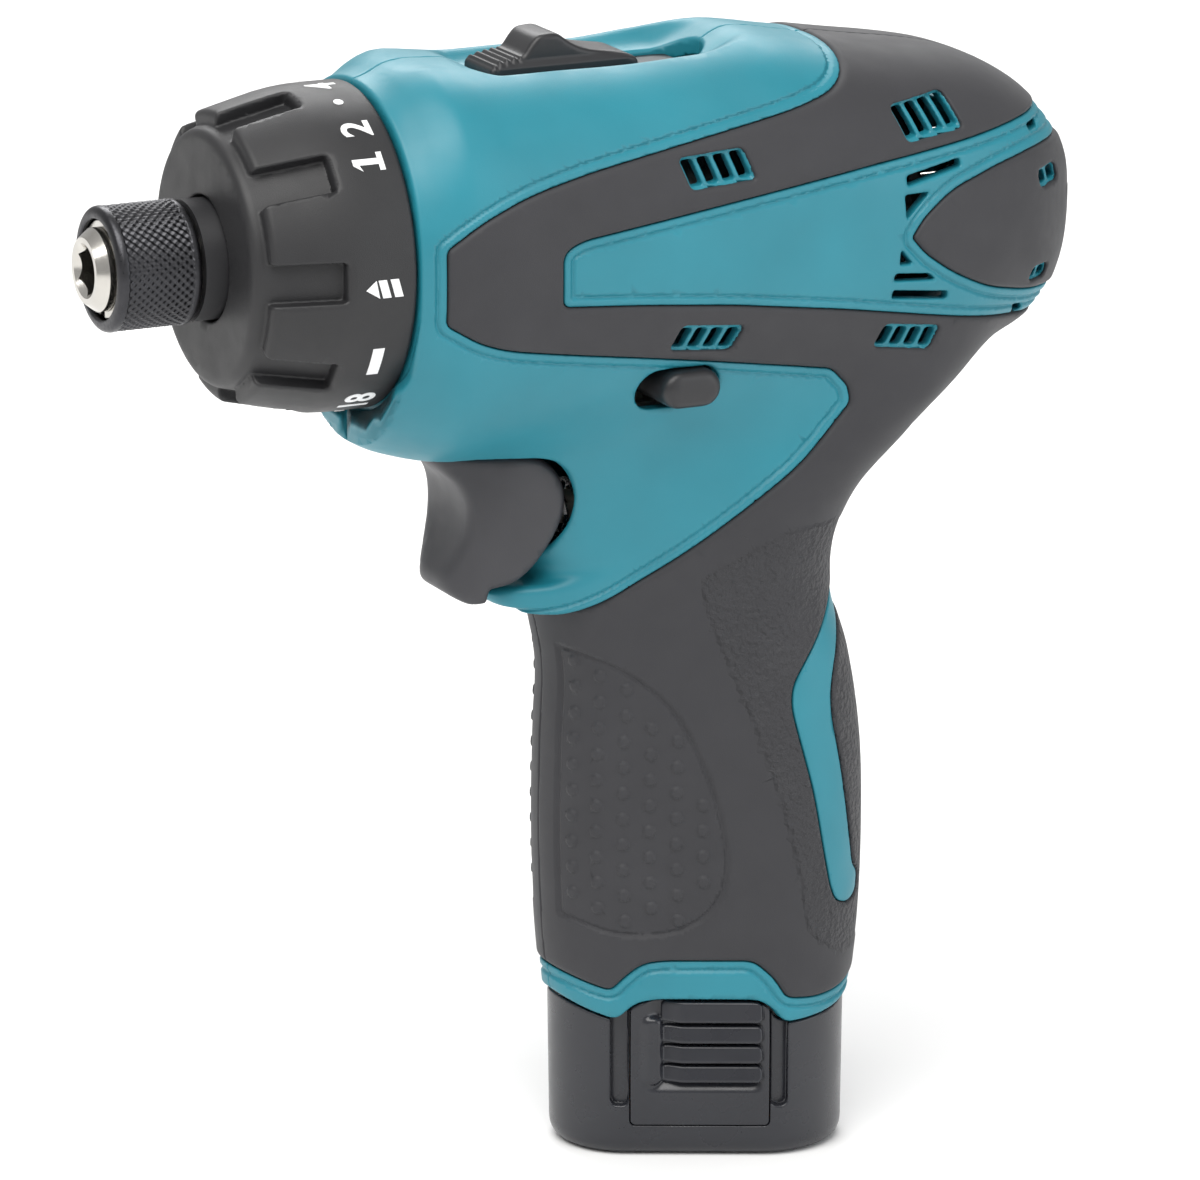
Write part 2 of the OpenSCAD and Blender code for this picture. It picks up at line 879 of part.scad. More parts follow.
module trigger() {
    color([0.2, 0.2, 0.21]) difference() {
        rotate([90, 0, 0]) linear_extrude(21, center = true) polygon(trigger_outline);
        // Finger scoop
        translate([-54.4, 0, 102]) rotate([90, 0, 0]) cylinder(h = 40, r = 11, center = true, $fn = round_fn);
        // Hollow behind, for the spring
        translate([-36, 0, 101]) rotate([0, 90, 0]) cylinder(h = 20, r = 6, $fn = round_fn);
    }
}

module plunger() {
    color("ivory") translate([-36, 0, 101]) rotate([0, 90, 0]) cylinder(h = 26, r = 2.5, $fn = round_fn);
}

module trigger_spring() {
    color("gainsboro") translate([-35.9, 0, 101]) rotate([0, 90, 0]) coil(4.2, 0.45, 18.8, 7);
}

// ---------------------------------------------------------------- battery

blade_ys = [-6, 0, 6];
blade_x = 4;
stick_top = 67;

module terminal_block() {
    color([0.5, 0.2, 0.12]) {
        translate([-6, -10, 71]) cube([18, 20, 7]);
        for (y = blade_ys) {
            translate([blade_x - 3, y - 0.4, 62.5]) cube([6, 0.8, 9]);
        }
    }
}

module battery_case() {
    color([0.17, 0.17, 0.18]) difference() {
        linear_extrude(block_h - gap) pear(block_outline);
        translate([0, 0, 2]) linear_extrude(block_h) pear(block_outline, 1.7);
        for (side = [-1, 1]) {
            at_latch(side) translate([-12.3, -6, 4.6]) cube([24.6, 12, 30]);
        }
    }
}

module latch_panel(side) {
    bar_count = 4;
    intersection() {
        translate([0, 0, 5.2]) linear_extrude(21.4) difference() {
            pear(block_outline);
            pear(block_outline, 1.7);
        }
        at_latch(side) translate([-11.1, -6, 0]) cube([22.2, 12, 40]);
    }
    at_latch(side) {
        translate([-9.2, -1.2, 10.4]) cube([3, 2, 14.4]);
        for (i = [0:bar_count - 1]) {
            translate([-6.4, -1.2, 10.4 + i * 3.8]) cube([15, 2, 2.4]);
        }
    }
}

module latch_left() {
    color([0.14, 0.14, 0.15]) latch_panel(-1);
}

module latch_right() {
    color([0.14, 0.14, 0.15]) latch_panel(1);
}

module battery_stick() {
    color([0.15, 0.15, 0.16]) difference() {
        union() {
            translate([0, 0, block_h - 3.6]) linear_extrude(1.5) pear(block_outline, 4.4);
            translate([0, 0, block_h - 3.6]) linear_extrude(stick_top - block_h + 3.6) pear(stick_outline);
        }
        translate([0, 0, block_h - 5]) linear_extrude(stick_top - block_h + 3.6) pear(stick_outline, 1);
        for (y = blade_ys) {
            translate([blade_x - 4, y - 0.9, stick_top - 4]) cube([8, 1.8, 8]);
        }
    }
}

module battery_cells() {
    color([0.75, 0.32, 0.12]) for (place = [[cell_front_x, 0], [cell_rear_x, cell_y], [cell_rear_x, -cell_y]]) {
        translate([place[0], place[1], 5]) {
            cylinder(h = cell_len, r = cell_r, $fn = round_fn);
            translate([0, 0, cell_len]) cylinder(h = 0.8, r = 2.6, $fn = 32);
        }
    }
}

module battery_board() {
    color("seagreen") translate([0, 0, 56.6]) linear_extrude(1.2) pear(stick_outline, 1.6);
}

module battery_clips() {
    color("gold") for (y = blade_ys) {
        for (side = [-1, 1]) {
            translate([blade_x - 3, y + side * 0.95 - 0.25, 57.8]) cube([6, 0.5, 6.8]);
        }
        translate([blade_x - 3, y - 1.2, 57.8]) cube([6, 2.4, 0.6]);
    }
}

housing_left();
housing_right();
grip_left();
grip_right();
housing_screws();
gear_case();
case_nose();
front_bush();
clutch_ring();
adjusting_nut();
clutch_spring();
clutch_washer();
clutch_pins();
clutch_gear();
spindle();
retaining_ring();
sleeve_washer();
bit_sleeve();
sleeve_spring();
bit_balls();
output_carrier();
output_planet(0);  // output_planet_a
output_planet(1);  // output_planet_b
output_planet(2);  // output_planet_c
input_carrier();
input_planet(0);  // input_planet_a
input_planet(1);  // input_planet_b
input_planet(2);  // input_planet_c
shift_gear();
shift_wire();
selector_lever();
selector_plate();
motor_plate();
motor_can();
motor_magnets();
end_bell();
motor_brushes();
armature();
commutator();
motor_shaft();
motor_fan();
rear_bearing();
reverse_lever();
reverse_arm();
switch_body();
trigger();
plunger();
trigger_spring();
terminal_block();
battery_case();
battery_stick();
battery_cells();
battery_board();
battery_clips();
latch_left();
latch_right();
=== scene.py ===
"""Compact cordless driver-drill: the visible surfaces, materials, lights and camera.

Lengths inside the shape functions are millimetres in the part's own frame: the nose points
toward -X, the left side toward -Y, and the origin is on the battery's underside.
"""
import math

import bpy
import bmesh
import numpy as np
import openvdb
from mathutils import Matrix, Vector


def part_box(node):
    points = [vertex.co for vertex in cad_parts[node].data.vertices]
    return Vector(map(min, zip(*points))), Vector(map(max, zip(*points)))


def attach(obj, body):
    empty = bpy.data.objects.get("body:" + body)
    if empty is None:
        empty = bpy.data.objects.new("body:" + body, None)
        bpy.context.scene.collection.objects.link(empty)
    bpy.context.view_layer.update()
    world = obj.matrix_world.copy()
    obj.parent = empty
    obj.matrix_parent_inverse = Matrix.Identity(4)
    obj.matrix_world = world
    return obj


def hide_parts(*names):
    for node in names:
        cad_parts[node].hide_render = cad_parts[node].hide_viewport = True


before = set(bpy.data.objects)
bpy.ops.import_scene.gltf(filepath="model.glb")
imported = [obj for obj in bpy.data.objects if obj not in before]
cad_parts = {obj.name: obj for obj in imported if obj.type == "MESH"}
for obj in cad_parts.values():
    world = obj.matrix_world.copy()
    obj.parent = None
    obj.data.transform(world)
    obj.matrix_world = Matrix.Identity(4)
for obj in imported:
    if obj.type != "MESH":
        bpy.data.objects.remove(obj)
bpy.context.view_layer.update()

MM = 0.001


def box_mm(node):
    low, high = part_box(node)
    return np.array(low) / MM, np.array(high) / MM


SPINDLE_LOW, SPINDLE_HIGH = box_mm("spindle")
AXIS = round(float(SPINDLE_LOW[2] + SPINDLE_HIGH[2]) / 2, 3)
RING_LOW, RING_HIGH = box_mm("clutch_ring")
SLEEVE_LOW, SLEEVE_HIGH = box_mm("bit_sleeve")
# Thickness of the overmould, how far it stands proud, and thickness of the housing wall
RUBBER = 1.2
PROUD = 0.35
WALL = 2.5
# Half the gap between the housing halves, and a distance beyond every vent and screw
HALF_GAP = 0.03
FAR = 50.0

# ------------------------------------------------------------------ camera and light

YAW = math.radians(25.45)
PITCH = math.radians(15.47)
DISTANCE = 1.2
TARGET = np.array((-0.01816, 0, 0.08717))
LENS = 238.0


def add_camera():
    back = np.array((
        -math.sin(YAW) * math.cos(PITCH),
        -math.cos(YAW) * math.cos(PITCH),
        math.sin(PITCH),
    ))
    camera = bpy.data.objects.new("camera", bpy.data.cameras.new("camera"))
    bpy.context.scene.collection.objects.link(camera)
    camera.location = TARGET + DISTANCE * back
    camera.rotation_euler = (math.pi / 2 - PITCH, 0, -YAW)
    camera.data.sensor_width = 36
    camera.data.lens = LENS
    camera.data.clip_end = 50
    bpy.context.scene.camera = camera


def add_light(name, place, size, power, color):
    light = bpy.data.lights.new(name, "AREA")
    light.shape = "RECTANGLE"
    light.size, light.size_y = size
    light.energy = power
    light.color = color
    lamp = bpy.data.objects.new(name, light)
    bpy.context.scene.collection.objects.link(lamp)
    lamp.location = place
    aim = bpy.data.objects["aim"]
    track = lamp.constraints.new("TRACK_TO")
    track.target = aim
    track.track_axis = "TRACK_NEGATIVE_Z"
    track.up_axis = "UP_Y"


def add_lights():
    aim = bpy.data.objects.new("aim", None)
    aim.location = (-0.02, 0, 0.09)
    bpy.context.scene.collection.objects.link(aim)
    add_light("key", (-0.6, -0.5, 1.35), (1.5, 1.1), 27, (1, 0.99, 0.97))
    add_light("fill", (0.9, -1.1, 0.5), (0.9, 0.9), 6, (0.96, 0.98, 1))
    add_light("rim", (0.3, 1.0, 0.9), (0.9, 0.5), 9, (1, 1, 1))
    world = bpy.data.worlds.new("studio")
    bpy.context.scene.world = world
    world.use_nodes = True
    background = world.node_tree.nodes["Background"]
    background.inputs["Color"].default_value = (1, 1, 1, 1)
    background.inputs["Strength"].default_value = 0.5
    bpy.context.scene.view_settings.view_transform = "Standard"


# ------------------------------------------------------------------ shape tools

def smooth_max(a, b, k):
    """The larger of two distances, with their meeting edge rounded over k millimetres"""
    h = np.clip(0.5 + 0.5 * (a - b) / k, 0, 1)
    return b * (1 - h) + a * h + k * h * (1 - h)


def smooth_min(a, b, k):
    return -smooth_max(-a, -b, k)


def smooth_step(t):
    t = np.clip(t, 0, 1)
    return t * t * (3 - 2 * t)


def rounded_box(u, v, half_u, half_v, round_r):
    """Distance to a rectangle with rounded corners"""
    du, dv = np.abs(u) - half_u + round_r, np.abs(v) - half_v + round_r
    return np.hypot(np.maximum(du, 0), np.maximum(dv, 0)) + np.minimum(np.maximum(du, dv), 0) - round_r


def bar_hole(x, z, cx, cz, length, height):
    """Distance to a bar with round ends"""
    return np.hypot(np.maximum(np.abs(x - cx) - (length - height) / 2, 0), z - cz) - height / 2


def curve(points):
    """A smooth function through points, level past both ends"""
    px, py = (np.array(v, float) for v in zip(*points))
    slopes = np.gradient(py, px)
    steps = np.linspace(px[0], px[-1], 400)
    i = np.clip(np.searchsorted(px, steps) - 1, 0, len(px) - 2)
    w = px[i + 1] - px[i]
    t = (steps - px[i]) / w
    values = (
        (2 * t ** 3 - 3 * t ** 2 + 1) * py[i] + (t ** 3 - 2 * t ** 2 + t) * w * slopes[i]
        + (3 * t ** 2 - 2 * t ** 3) * py[i + 1] + (t ** 3 - t ** 2) * w * slopes[i + 1]
    )
    return lambda u: np.interp(u, steps, values)


def rounded_points(points):
    """Replaces each corner by a short curve; a point is (u, v) or (u, v, cut)"""
    out = []
    count = len(points)
    for i, point in enumerate(points):
        p = np.array(point[:2], float)
        cut = point[2] if len(point) > 2 else 2.0
        before = np.array(points[i - 1][:2], float)
        after = np.array(points[(i + 1) % count][:2], float)
        ends = []
        for q in (before, after):
            reach = np.linalg.norm(q - p)
            ends.append(p + (q - p) * min(cut, reach * 0.48) / reach)
        for t in np.linspace(0, 1, 7):
            out.append((1 - t) ** 2 * ends[0] + 2 * t * (1 - t) * p + t ** 2 * ends[1])
    return np.array(out)


class Outline:
    """Signed distance to a closed outline in the side view, negative inside"""

    def __init__(self, points, step=0.35, margin=6):
        corners = rounded_points(points)
        self.low = np.maximum(corners.min(0), (-62, -2)) - margin
        high = np.minimum(corners.max(0), (62, 178)) + margin
        self.step = step
        counts = np.ceil((high - self.low) / step).astype(int) + 1
        u = (self.low[0] + step * np.arange(counts[0]))[:, None]
        v = (self.low[1] + step * np.arange(counts[1]))[None, :]
        nearest = np.full(counts, 1e9, np.float32)
        inside = np.zeros(counts, bool)
        for a, b in zip(corners, np.roll(corners, -1, 0)):
            du, dv = b - a
            length = du * du + dv * dv
            if length < 1e-12:
                continue
            t = np.clip(((u - a[0]) * du + (v - a[1]) * dv) / length, 0, 1)
            nearest = np.minimum(nearest, (u - a[0] - t * du) ** 2 + (v - a[1] - t * dv) ** 2)
            if abs(dv) > 1e-9:
                crosses = (v >= min(a[1], b[1])) & (v < max(a[1], b[1]))
                inside ^= crosses & (u < a[0] + (v - a[1]) * du / dv)
        self.values = np.sqrt(nearest) * np.where(inside, -1, 1)

    def __call__(self, u, v):
        limit = np.array(self.values.shape) - 1.001
        s = np.clip((u - self.low[0]) / self.step, 0, limit[0])
        t = np.clip((v - self.low[1]) / self.step, 0, limit[1])
        i, j = s.astype(int), t.astype(int)
        s, t = s - i, t - j
        f = self.values
        return (
            f[i, j] * (1 - s) * (1 - t) + f[i + 1, j] * s * (1 - t)
            + f[i, j + 1] * (1 - s) * t + f[i + 1, j + 1] * s * t
        )


def unit_slope(field, nudge=0.05):
    """Scales a field so that it measures distance near its surface"""
    def scaled(x, y, z):
        f = field(x, y, z)
        gx = field(x + nudge, y, z) - f
        gy = field(x, y + nudge, z) - f
        gz = field(x, y, z + nudge) - f
        return f / np.maximum(np.sqrt(gx * gx + gy * gy + gz * gz) / nudge, 0.25)
    return scaled


BLOCK = 4
CHUNK = 400000


def solid(name, field, low, high, step, merge=0.0):
    """A closed mesh of the surface where a distance field is zero.

    The field is measured once per block of cells, and cell by cell only in blocks near it."""
    low = np.array(low, float) - 2 * step
    size = np.array(high, float) + 2 * step - low
    blocks = np.ceil(size / (step * BLOCK)).astype(int)
    spots = np.indices(blocks).reshape(3, -1).T
    centres = low + (spots + 0.5 - 0.5 / BLOCK) * BLOCK * step
    rough = field(*centres.T)
    reach = BLOCK * step * 1.35
    near = np.abs(rough) < reach
    band = 3 * step
    dense = np.where(rough > 0, band, -band).astype(np.float32).reshape(blocks)
    dense = dense.repeat(BLOCK, 0).repeat(BLOCK, 1).repeat(BLOCK, 2)
    offsets = np.indices((BLOCK,) * 3).reshape(3, -1).T
    fine = (spots[near][:, None, :] * BLOCK + offsets[None]).reshape(-1, 3)
    for start in range(0, len(fine), CHUNK):
        part = fine[start:start + CHUNK]
        values = field(*(low + part * step).T)
        dense[part[:, 0], part[:, 1], part[:, 2]] = np.clip(values, -band, band)
    grid = openvdb.FloatGrid(band)
    grid.copyFromArray(dense)
    points, triangles, quads = grid.convertToPolygons(isovalue=0.0, adaptivity=merge)
    points = low + points.astype(float) * step
    return mesh_piece(name, points, triangles, quads, field)


def field_normals(field, points, nudge=0.04):
    slope = np.empty_like(points)
    for axis in range(3):
        shift = np.zeros(3)
        shift[axis] = nudge
        slope[:, axis] = field(*(points + shift).T) - field(*(points - shift).T)
    return slope / np.maximum(np.linalg.norm(slope, axis=1, keepdims=True), 1e-9)


def mesh_piece(name, points, triangles, quads, field):
    """A mesh object from millimetre points, moved onto the field's zero and shaded by its slope"""
    normals = field_normals(field, points)
    points = points - normals * np.clip(field(*points.T), -0.15, 0.15)[:, None]
    faces = [np.asarray(f, np.int64) for f in (triangles, quads) if len(f)]
    a, b, c = (points[faces[-1][:, i]] for i in range(3))
    facing = np.einsum("ij,ij->i", np.cross(b - a, c - a), normals[faces[-1][:, 0]])
    if facing.sum() < 0:
        faces = [f[:, ::-1] for f in faces]
    corners = np.concatenate([f.ravel() for f in faces])
    sizes = np.concatenate([np.full(len(f), f.shape[1]) for f in faces])
    starts = np.concatenate([[0], np.cumsum(sizes)[:-1]])
    mesh = bpy.data.meshes.new(name)
    mesh.vertices.add(len(points))
    mesh.vertices.foreach_set("co", (points * MM).astype(np.float32).ravel())
    mesh.loops.add(len(corners))
    mesh.loops.foreach_set("vertex_index", corners.astype(np.int32))
    mesh.polygons.add(len(sizes))
    mesh.polygons.foreach_set("loop_start", starts.astype(np.int32))
    mesh.polygons.foreach_set("loop_total", sizes.astype(np.int32))
    mesh.polygons.foreach_set("use_smooth", np.ones(len(sizes), bool))
    mesh.update()
    mesh.validate()
    mesh.normals_split_custom_set_from_vertices(normals.tolist())
    piece = bpy.data.objects.new(name, mesh)
    bpy.context.scene.collection.objects.link(piece)
    return piece


def place(piece, body, material, slot, *nodes):
    piece.data.materials.clear()
    piece.data.materials.append(material)
    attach(piece, body)
    if nodes:
        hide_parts(*nodes)


# ------------------------------------------------------------------ materials

def shader(name):
    material = bpy.data.materials.new(name)
    material.use_nodes = True
    tree = material.node_tree
    return material, tree, tree.nodes["Principled BSDF"]


def noise(tree, size_mm, detail=2.0, stretch=(1, 1, 1)):
    """Noise in the object's own space, with features of about size_mm"""
    where = tree.nodes.new("ShaderNodeTexCoord")
    scale = tree.nodes.new("ShaderNodeMapping")
    scale.inputs["Scale"].default_value = [s / (size_mm * MM) for s in stretch]
    texture = tree.nodes.new("ShaderNodeTexNoise")
    texture.inputs["Scale"].default_value = 1.0
    texture.inputs["Detail"].default_value = detail
    tree.links.new(where.outputs["Object"], scale.inputs["Vector"])
    tree.links.new(scale.outputs["Vector"], texture.inputs["Vector"])
    return texture.outputs["Fac"]


NOISE_MIDDLE = (0.3, 0.7)


def spread(tree, value, low, high):
    """Maps the middle of a noise to a range"""
    node = tree.nodes.new("ShaderNodeMapRange")
    node.inputs["From Min"].default_value, node.inputs["From Max"].default_value = NOISE_MIDDLE
    node.inputs["To Min"].default_value = low
    node.inputs["To Max"].default_value = high
    tree.links.new(value, node.inputs["Value"])
    return node.outputs["Result"]


def two_colors(tree, share, first, second):
    node = tree.nodes.new("ShaderNodeMix")
    node.data_type = "RGBA"
    node.inputs["A"].default_value = (*first, 1)
    node.inputs["B"].default_value = (*second, 1)
    tree.links.new(share, node.inputs["Factor"])
    return node.outputs["Result"]


def add_bump(tree, bsdf, heights):
    """Chains bumps; heights are (value, depth in millimetres)"""
    normal = None
    for value, depth in heights:
        node = tree.nodes.new("ShaderNodeBump")
        node.inputs["Distance"].default_value = depth * MM
        node.inputs["Strength"].default_value = 1.0
        tree.links.new(value, node.inputs["Height"])
        if normal is not None:
            tree.links.new(normal, node.inputs["Normal"])
        normal = node.outputs["Normal"]
    tree.links.new(normal, bsdf.inputs["Normal"])


MARBLING = 0.06


def moulded(name, color, roughness, grain_mm, grain_depth):
    """Moulded plastic: fine spark-eroded grain, faint marbling and uneven gloss"""
    material, tree, bsdf = shader(name)
    cloud = noise(tree, 14, 3)
    dark = [c * (1 - MARBLING) for c in color]
    light = [min(c * (1 + MARBLING) + 0.001, 1) for c in color]
    tree.links.new(two_colors(tree, spread(tree, cloud, 0, 1), dark, light), bsdf.inputs["Base Color"])
    grain = noise(tree, grain_mm, 3)
    gloss = spread(tree, noise(tree, 5, 4), roughness - 0.04, roughness + 0.05)
    tree.links.new(gloss, bsdf.inputs["Roughness"])
    add_bump(tree, bsdf, [(grain, grain_depth)])
    return material


def metal(name, color, roughness, stretch=(1, 1, 1), grain_mm=0.4, depth=0.004):
    """Turned or drawn metal: fine tool marks along one direction and uneven polish"""
    material, tree, bsdf = shader(name)
    bsdf.inputs["Metallic"].default_value = 1
    dark = [c * 0.85 for c in color]
    share = spread(tree, noise(tree, 4, 3), 0, 1)
    tree.links.new(two_colors(tree, share, dark, color), bsdf.inputs["Base Color"])
    marks = noise(tree, grain_mm, 2, stretch)
    tree.links.new(spread(tree, marks, roughness * 0.75, roughness * 1.3), bsdf.inputs["Roughness"])
    add_bump(tree, bsdf, [(marks, depth)])
    return material


def paint_white(name):
    material, tree, bsdf = shader(name)
    share = spread(tree, noise(tree, 0.8, 3), 0, 1)
    white = two_colors(tree, share, (0.78, 0.79, 0.8), (0.88, 0.88, 0.88))
    tree.links.new(white, bsdf.inputs["Base Color"])
    tree.links.new(spread(tree, noise(tree, 2, 2), 0.4, 0.55), bsdf.inputs["Roughness"])
    add_bump(tree, bsdf, [(noise(tree, 0.25, 2), 0.01)])
    return material


def rough_rubber(name, color):
    """Rubber with the coarse pebbled texture where the vertex mask says so"""
    material, tree, bsdf = shader(name)
    mask = tree.nodes.new("ShaderNodeAttribute")
    mask.attribute_name = "pebbled"
    cloud = noise(tree, 12, 3)
    dark = [c * 0.9 for c in color]
    tree.links.new(two_colors(tree, spread(tree, cloud, 0, 1), dark, color), bsdf.inputs["Base Color"])
    pebble = tree.nodes.new("ShaderNodeMath")
    pebble.operation = "MULTIPLY"
    tree.links.new(noise(tree, 0.9, 2), pebble.inputs[0])
    tree.links.new(mask.outputs["Fac"], pebble.inputs[1])
    tree.links.new(spread(tree, noise(tree, 5, 4), 0.58, 0.68), bsdf.inputs["Roughness"])
    bsdf.inputs["Specular IOR Level"].default_value = 0.4
    bsdf.inputs["Sheen Weight"].default_value = 0.08
    add_bump(tree, bsdf, [(noise(tree, 0.16, 3), 0.02), (pebble.outputs["Value"], 0.9)])
    return material


TEAL = moulded("teal_plastic", (0.012, 0.19, 0.248), 0.44, 0.14, 0.012)
RUBBER_SKIN = rough_rubber("grip_rubber", (0.03, 0.03, 0.034))
BLACK = moulded("black_plastic", (0.014, 0.014, 0.0155), 0.5, 0.16, 0.03)
LEVER_BLACK = moulded("lever_plastic", (0.015, 0.015, 0.017), 0.42, 0.14, 0.012)
TRIGGER_GREY = moulded("trigger_plastic", (0.034, 0.034, 0.039), 0.48, 0.15, 0.02)
BATTERY = moulded("battery_plastic", (0.017, 0.018, 0.023), 0.28, 0.2, 0.006)
WHITE = paint_white("dial_paint")
STEEL = metal("ground_steel", (0.42, 0.42, 0.43), 0.32)
BRIGHT = metal("bright_steel", (0.62, 0.6, 0.56), 0.2, (6, 1, 1), 0.6, 0.002)
BLACK_STEEL = metal("blackened_steel", (0.06, 0.06, 0.065), 0.36)
WIRE = metal("spring_wire", (0.55, 0.55, 0.55), 0.25)
CAST = metal("cast_alloy", (0.3, 0.3, 0.31), 0.5, (1, 1, 1), 0.8, 0.03)
DARK_CAST = moulded("dark_cast", (0.02, 0.02, 0.022), 0.45, 0.3, 0.02)
BRONZE = metal("sintered_bronze", (0.5, 0.3, 0.12), 0.45)
COPPER = metal("copper", (0.7, 0.32, 0.17), 0.3, (6, 1, 1))
GOLD = metal("plated_contact", (0.8, 0.62, 0.28), 0.25)
MAGNET = moulded("ferrite", (0.03, 0.03, 0.032), 0.6, 0.3, 0.03)
ZINC = metal("zinc_plate", (0.5, 0.5, 0.49), 0.35, (1, 1, 1), 1.2, 0.006)
NYLON = moulded("nylon", (0.6, 0.57, 0.5), 0.45, 0.3, 0.01)
WRAP = moulded("cell_wrap", (0.45, 0.13, 0.03), 0.3, 0.6, 0.01)
BOARD = moulded("circuit_board", (0.02, 0.14, 0.06), 0.4, 0.5, 0.01)
RED = moulded("terminal_plastic", (0.25, 0.05, 0.03), 0.45, 0.3, 0.02)

NODE_MATERIALS = {
    "housing_screws": ZINC, "gear_case": DARK_CAST, "case_nose": DARK_CAST, "front_bush": BRONZE,
    "adjusting_nut": STEEL,
    "clutch_spring": WIRE, "clutch_washer": STEEL, "clutch_pins": STEEL, "clutch_gear": STEEL,
    "spindle": BRIGHT, "retaining_ring": BRIGHT, "sleeve_washer": BLACK_STEEL, "sleeve_spring": WIRE,
    "bit_balls": BRIGHT, "output_carrier": STEEL, "output_planet_a": STEEL, "output_planet_b": STEEL,
    "output_planet_c": STEEL, "input_carrier": STEEL, "input_planet_a": STEEL,
    "input_planet_b": STEEL, "input_planet_c": STEEL, "shift_gear": STEEL, "shift_wire": WIRE,
    "selector_plate": LEVER_BLACK, "motor_plate": CAST, "motor_can": ZINC, "motor_magnets": MAGNET,
    "end_bell": BLACK, "motor_brushes": MAGNET, "armature": STEEL, "commutator": COPPER,
    "motor_shaft": BRIGHT, "motor_fan": BLACK, "rear_bearing": BRIGHT, "reverse_arm": NYLON,
    "switch_body": BLACK, "plunger": NYLON, "trigger_spring": WIRE, "terminal_block": RED,
    "battery_stick": BATTERY, "battery_cells": WRAP, "battery_board": BOARD, "battery_clips": GOLD,
}


def finish_cad_nodes():
    for node, material in NODE_MATERIALS.items():
        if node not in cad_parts:
            continue
        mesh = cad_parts[node].data
        mesh.materials.clear()
        mesh.materials.append(material)


# ------------------------------------------------------------------ body of the tool

# The head's reach above the axis, below it and to the side, along X
HEAD_TOP = curve([
    (-59, 24.5), (-56.5, 25.2), (-53.5, 26.6), (-50.5, 27.4), (-47.5, 27.2), (-42, 26.5), (-30, 26.3),
    (-18, 26.2), (-8, 27), (2, 27.6), (12, 26), (22, 24.3), (32, 22.7), (38, 21.3), (44, 18.8),
    (49, 15.5), (53, 11.5), (56, 7.5), (58, 5.5),
])
HEAD_LOW = curve([
    (-66, 24.7), (-61.8, 28.4), (-57.9, 30.9), (-54, 32.2), (-48, 33.4), (-42, 33.5), (-30, 32),
    (-15, 29.5), (2, 28), (16, 26), (30, 24.6), (40, 23.4), (47, 21.8), (52, 18.8), (55, 15), (58, 12.5),
])
HEAD_HALF = curve([
    (-58.6, 24.8), (-52, 25.8), (-42, 26.3), (-20, 26.5), (2, 26.5), (16, 26.2), (26, 25.3),
    (34, 24), (41, 21.8), (47, 18.7), (51, 15.5), (54, 12.4), (56, 10), (58, 8.5),
])
HEAD_FRONT, HEAD_REAR = -58.6, 57.0

# The handle's section up its height: z, then front_x, front_r, rear_x, rear_y and rear_r
HANDLE_STATIONS = [
    (0, -13.6, 12, 4.8, 8.6, 12.4), (22, -14, 12.5, 5.2, 8.6, 13), (36, -14.8, 12.9, 6.2, 8.6, 13.5),
    (50, -15.2, 13, 6.6, 8.6, 13.6), (65, -15, 13, 6.2, 8.6, 13.5), (78, -14.8, 12.9, 4.6, 8.6, 13),
    (88, -17.5, 12.4, 3, 8.8, 11.8), (97, -20, 13.2, 3.6, 9.2, 11.8), (104, -22, 13.5, 6.5, 9.6, 12.4),
    (112, -25.5, 13.8, 14, 10, 13), (120, -29, 13.5, 22, 10, 13), (130, -30, 12, 26, 8, 12),
]
HANDLE = [curve([(s[0], s[i]) for s in HANDLE_STATIONS]) for i in range(1, 6)]


def head(x, y, z):
    dz = z - AXIS
    reach = np.where(dz > 0, HEAD_TOP(x), HEAD_LOW(x))
    half = HEAD_HALF(x)
    u, v = np.abs(y) / half, np.abs(dz) / reach
    power = 2.1 + 0.5 * smooth_step((x - HEAD_FRONT) / 9)
    q = (u ** power + v ** power) ** (1 / power)
    scale = np.minimum(half, reach)
    side = (q - 1) * scale
    return smooth_max(side, x - HEAD_REAR, 4)


def corner_hull(x, y, front_x, front_r, rear_x, rear_y, rear_r):
    """Distance to a rounded triangle with one corner in front and two behind"""
    y = np.abs(y)
    length = np.hypot(rear_x - front_x, rear_y)
    ux, uy = (rear_x - front_x) / length, rear_y / length
    along = (x - front_x) * ux + y * uy
    across = y * ux - (x - front_x) * uy
    b = (front_r - rear_r) / length
    a = np.sqrt(1 - b * b)
    k = along * a - across * b
    f = np.maximum(across * a + along * b - front_r, x - rear_x - rear_r)
    f = np.where(k < 0, np.hypot(along, across) - front_r, f)
    corner = (k > a * length) & (y > rear_y)
    return np.where(corner, np.hypot(along - length, across) - rear_r, f)


def handle(x, y, z):
    return corner_hull(x, y, *(f(z) for f in HANDLE))


# How far the chin passes under the clutch ring, and the selector's dish above the axis
CHIN_REACH = 6.2
DISH_HEIGHT = 23.6


def body_shape(x, y, z):
    f = smooth_min(head(x, y, z), smooth_max(handle(x, y, z), z - 133, 3), 9)
    chin = CHIN_REACH * smooth_step((AXIS - 15 - z) / 10)
    f = smooth_max(f, HEAD_FRONT - chin - x, 0.8)
    ramps = 4.4 * smooth_step((x + 7.5) / 12) + 3.6 * smooth_step((-38.6 - x) / 6)
    bowl = z - AXIS - DISH_HEIGHT - ramps - 0.09 * np.maximum(np.abs(y) - 5.6, 0) ** 2
    return smooth_max(f, bowl, 1.0)


body = unit_slope(body_shape)

# ------------------------------------------------------------------ side-view outlines, x and z

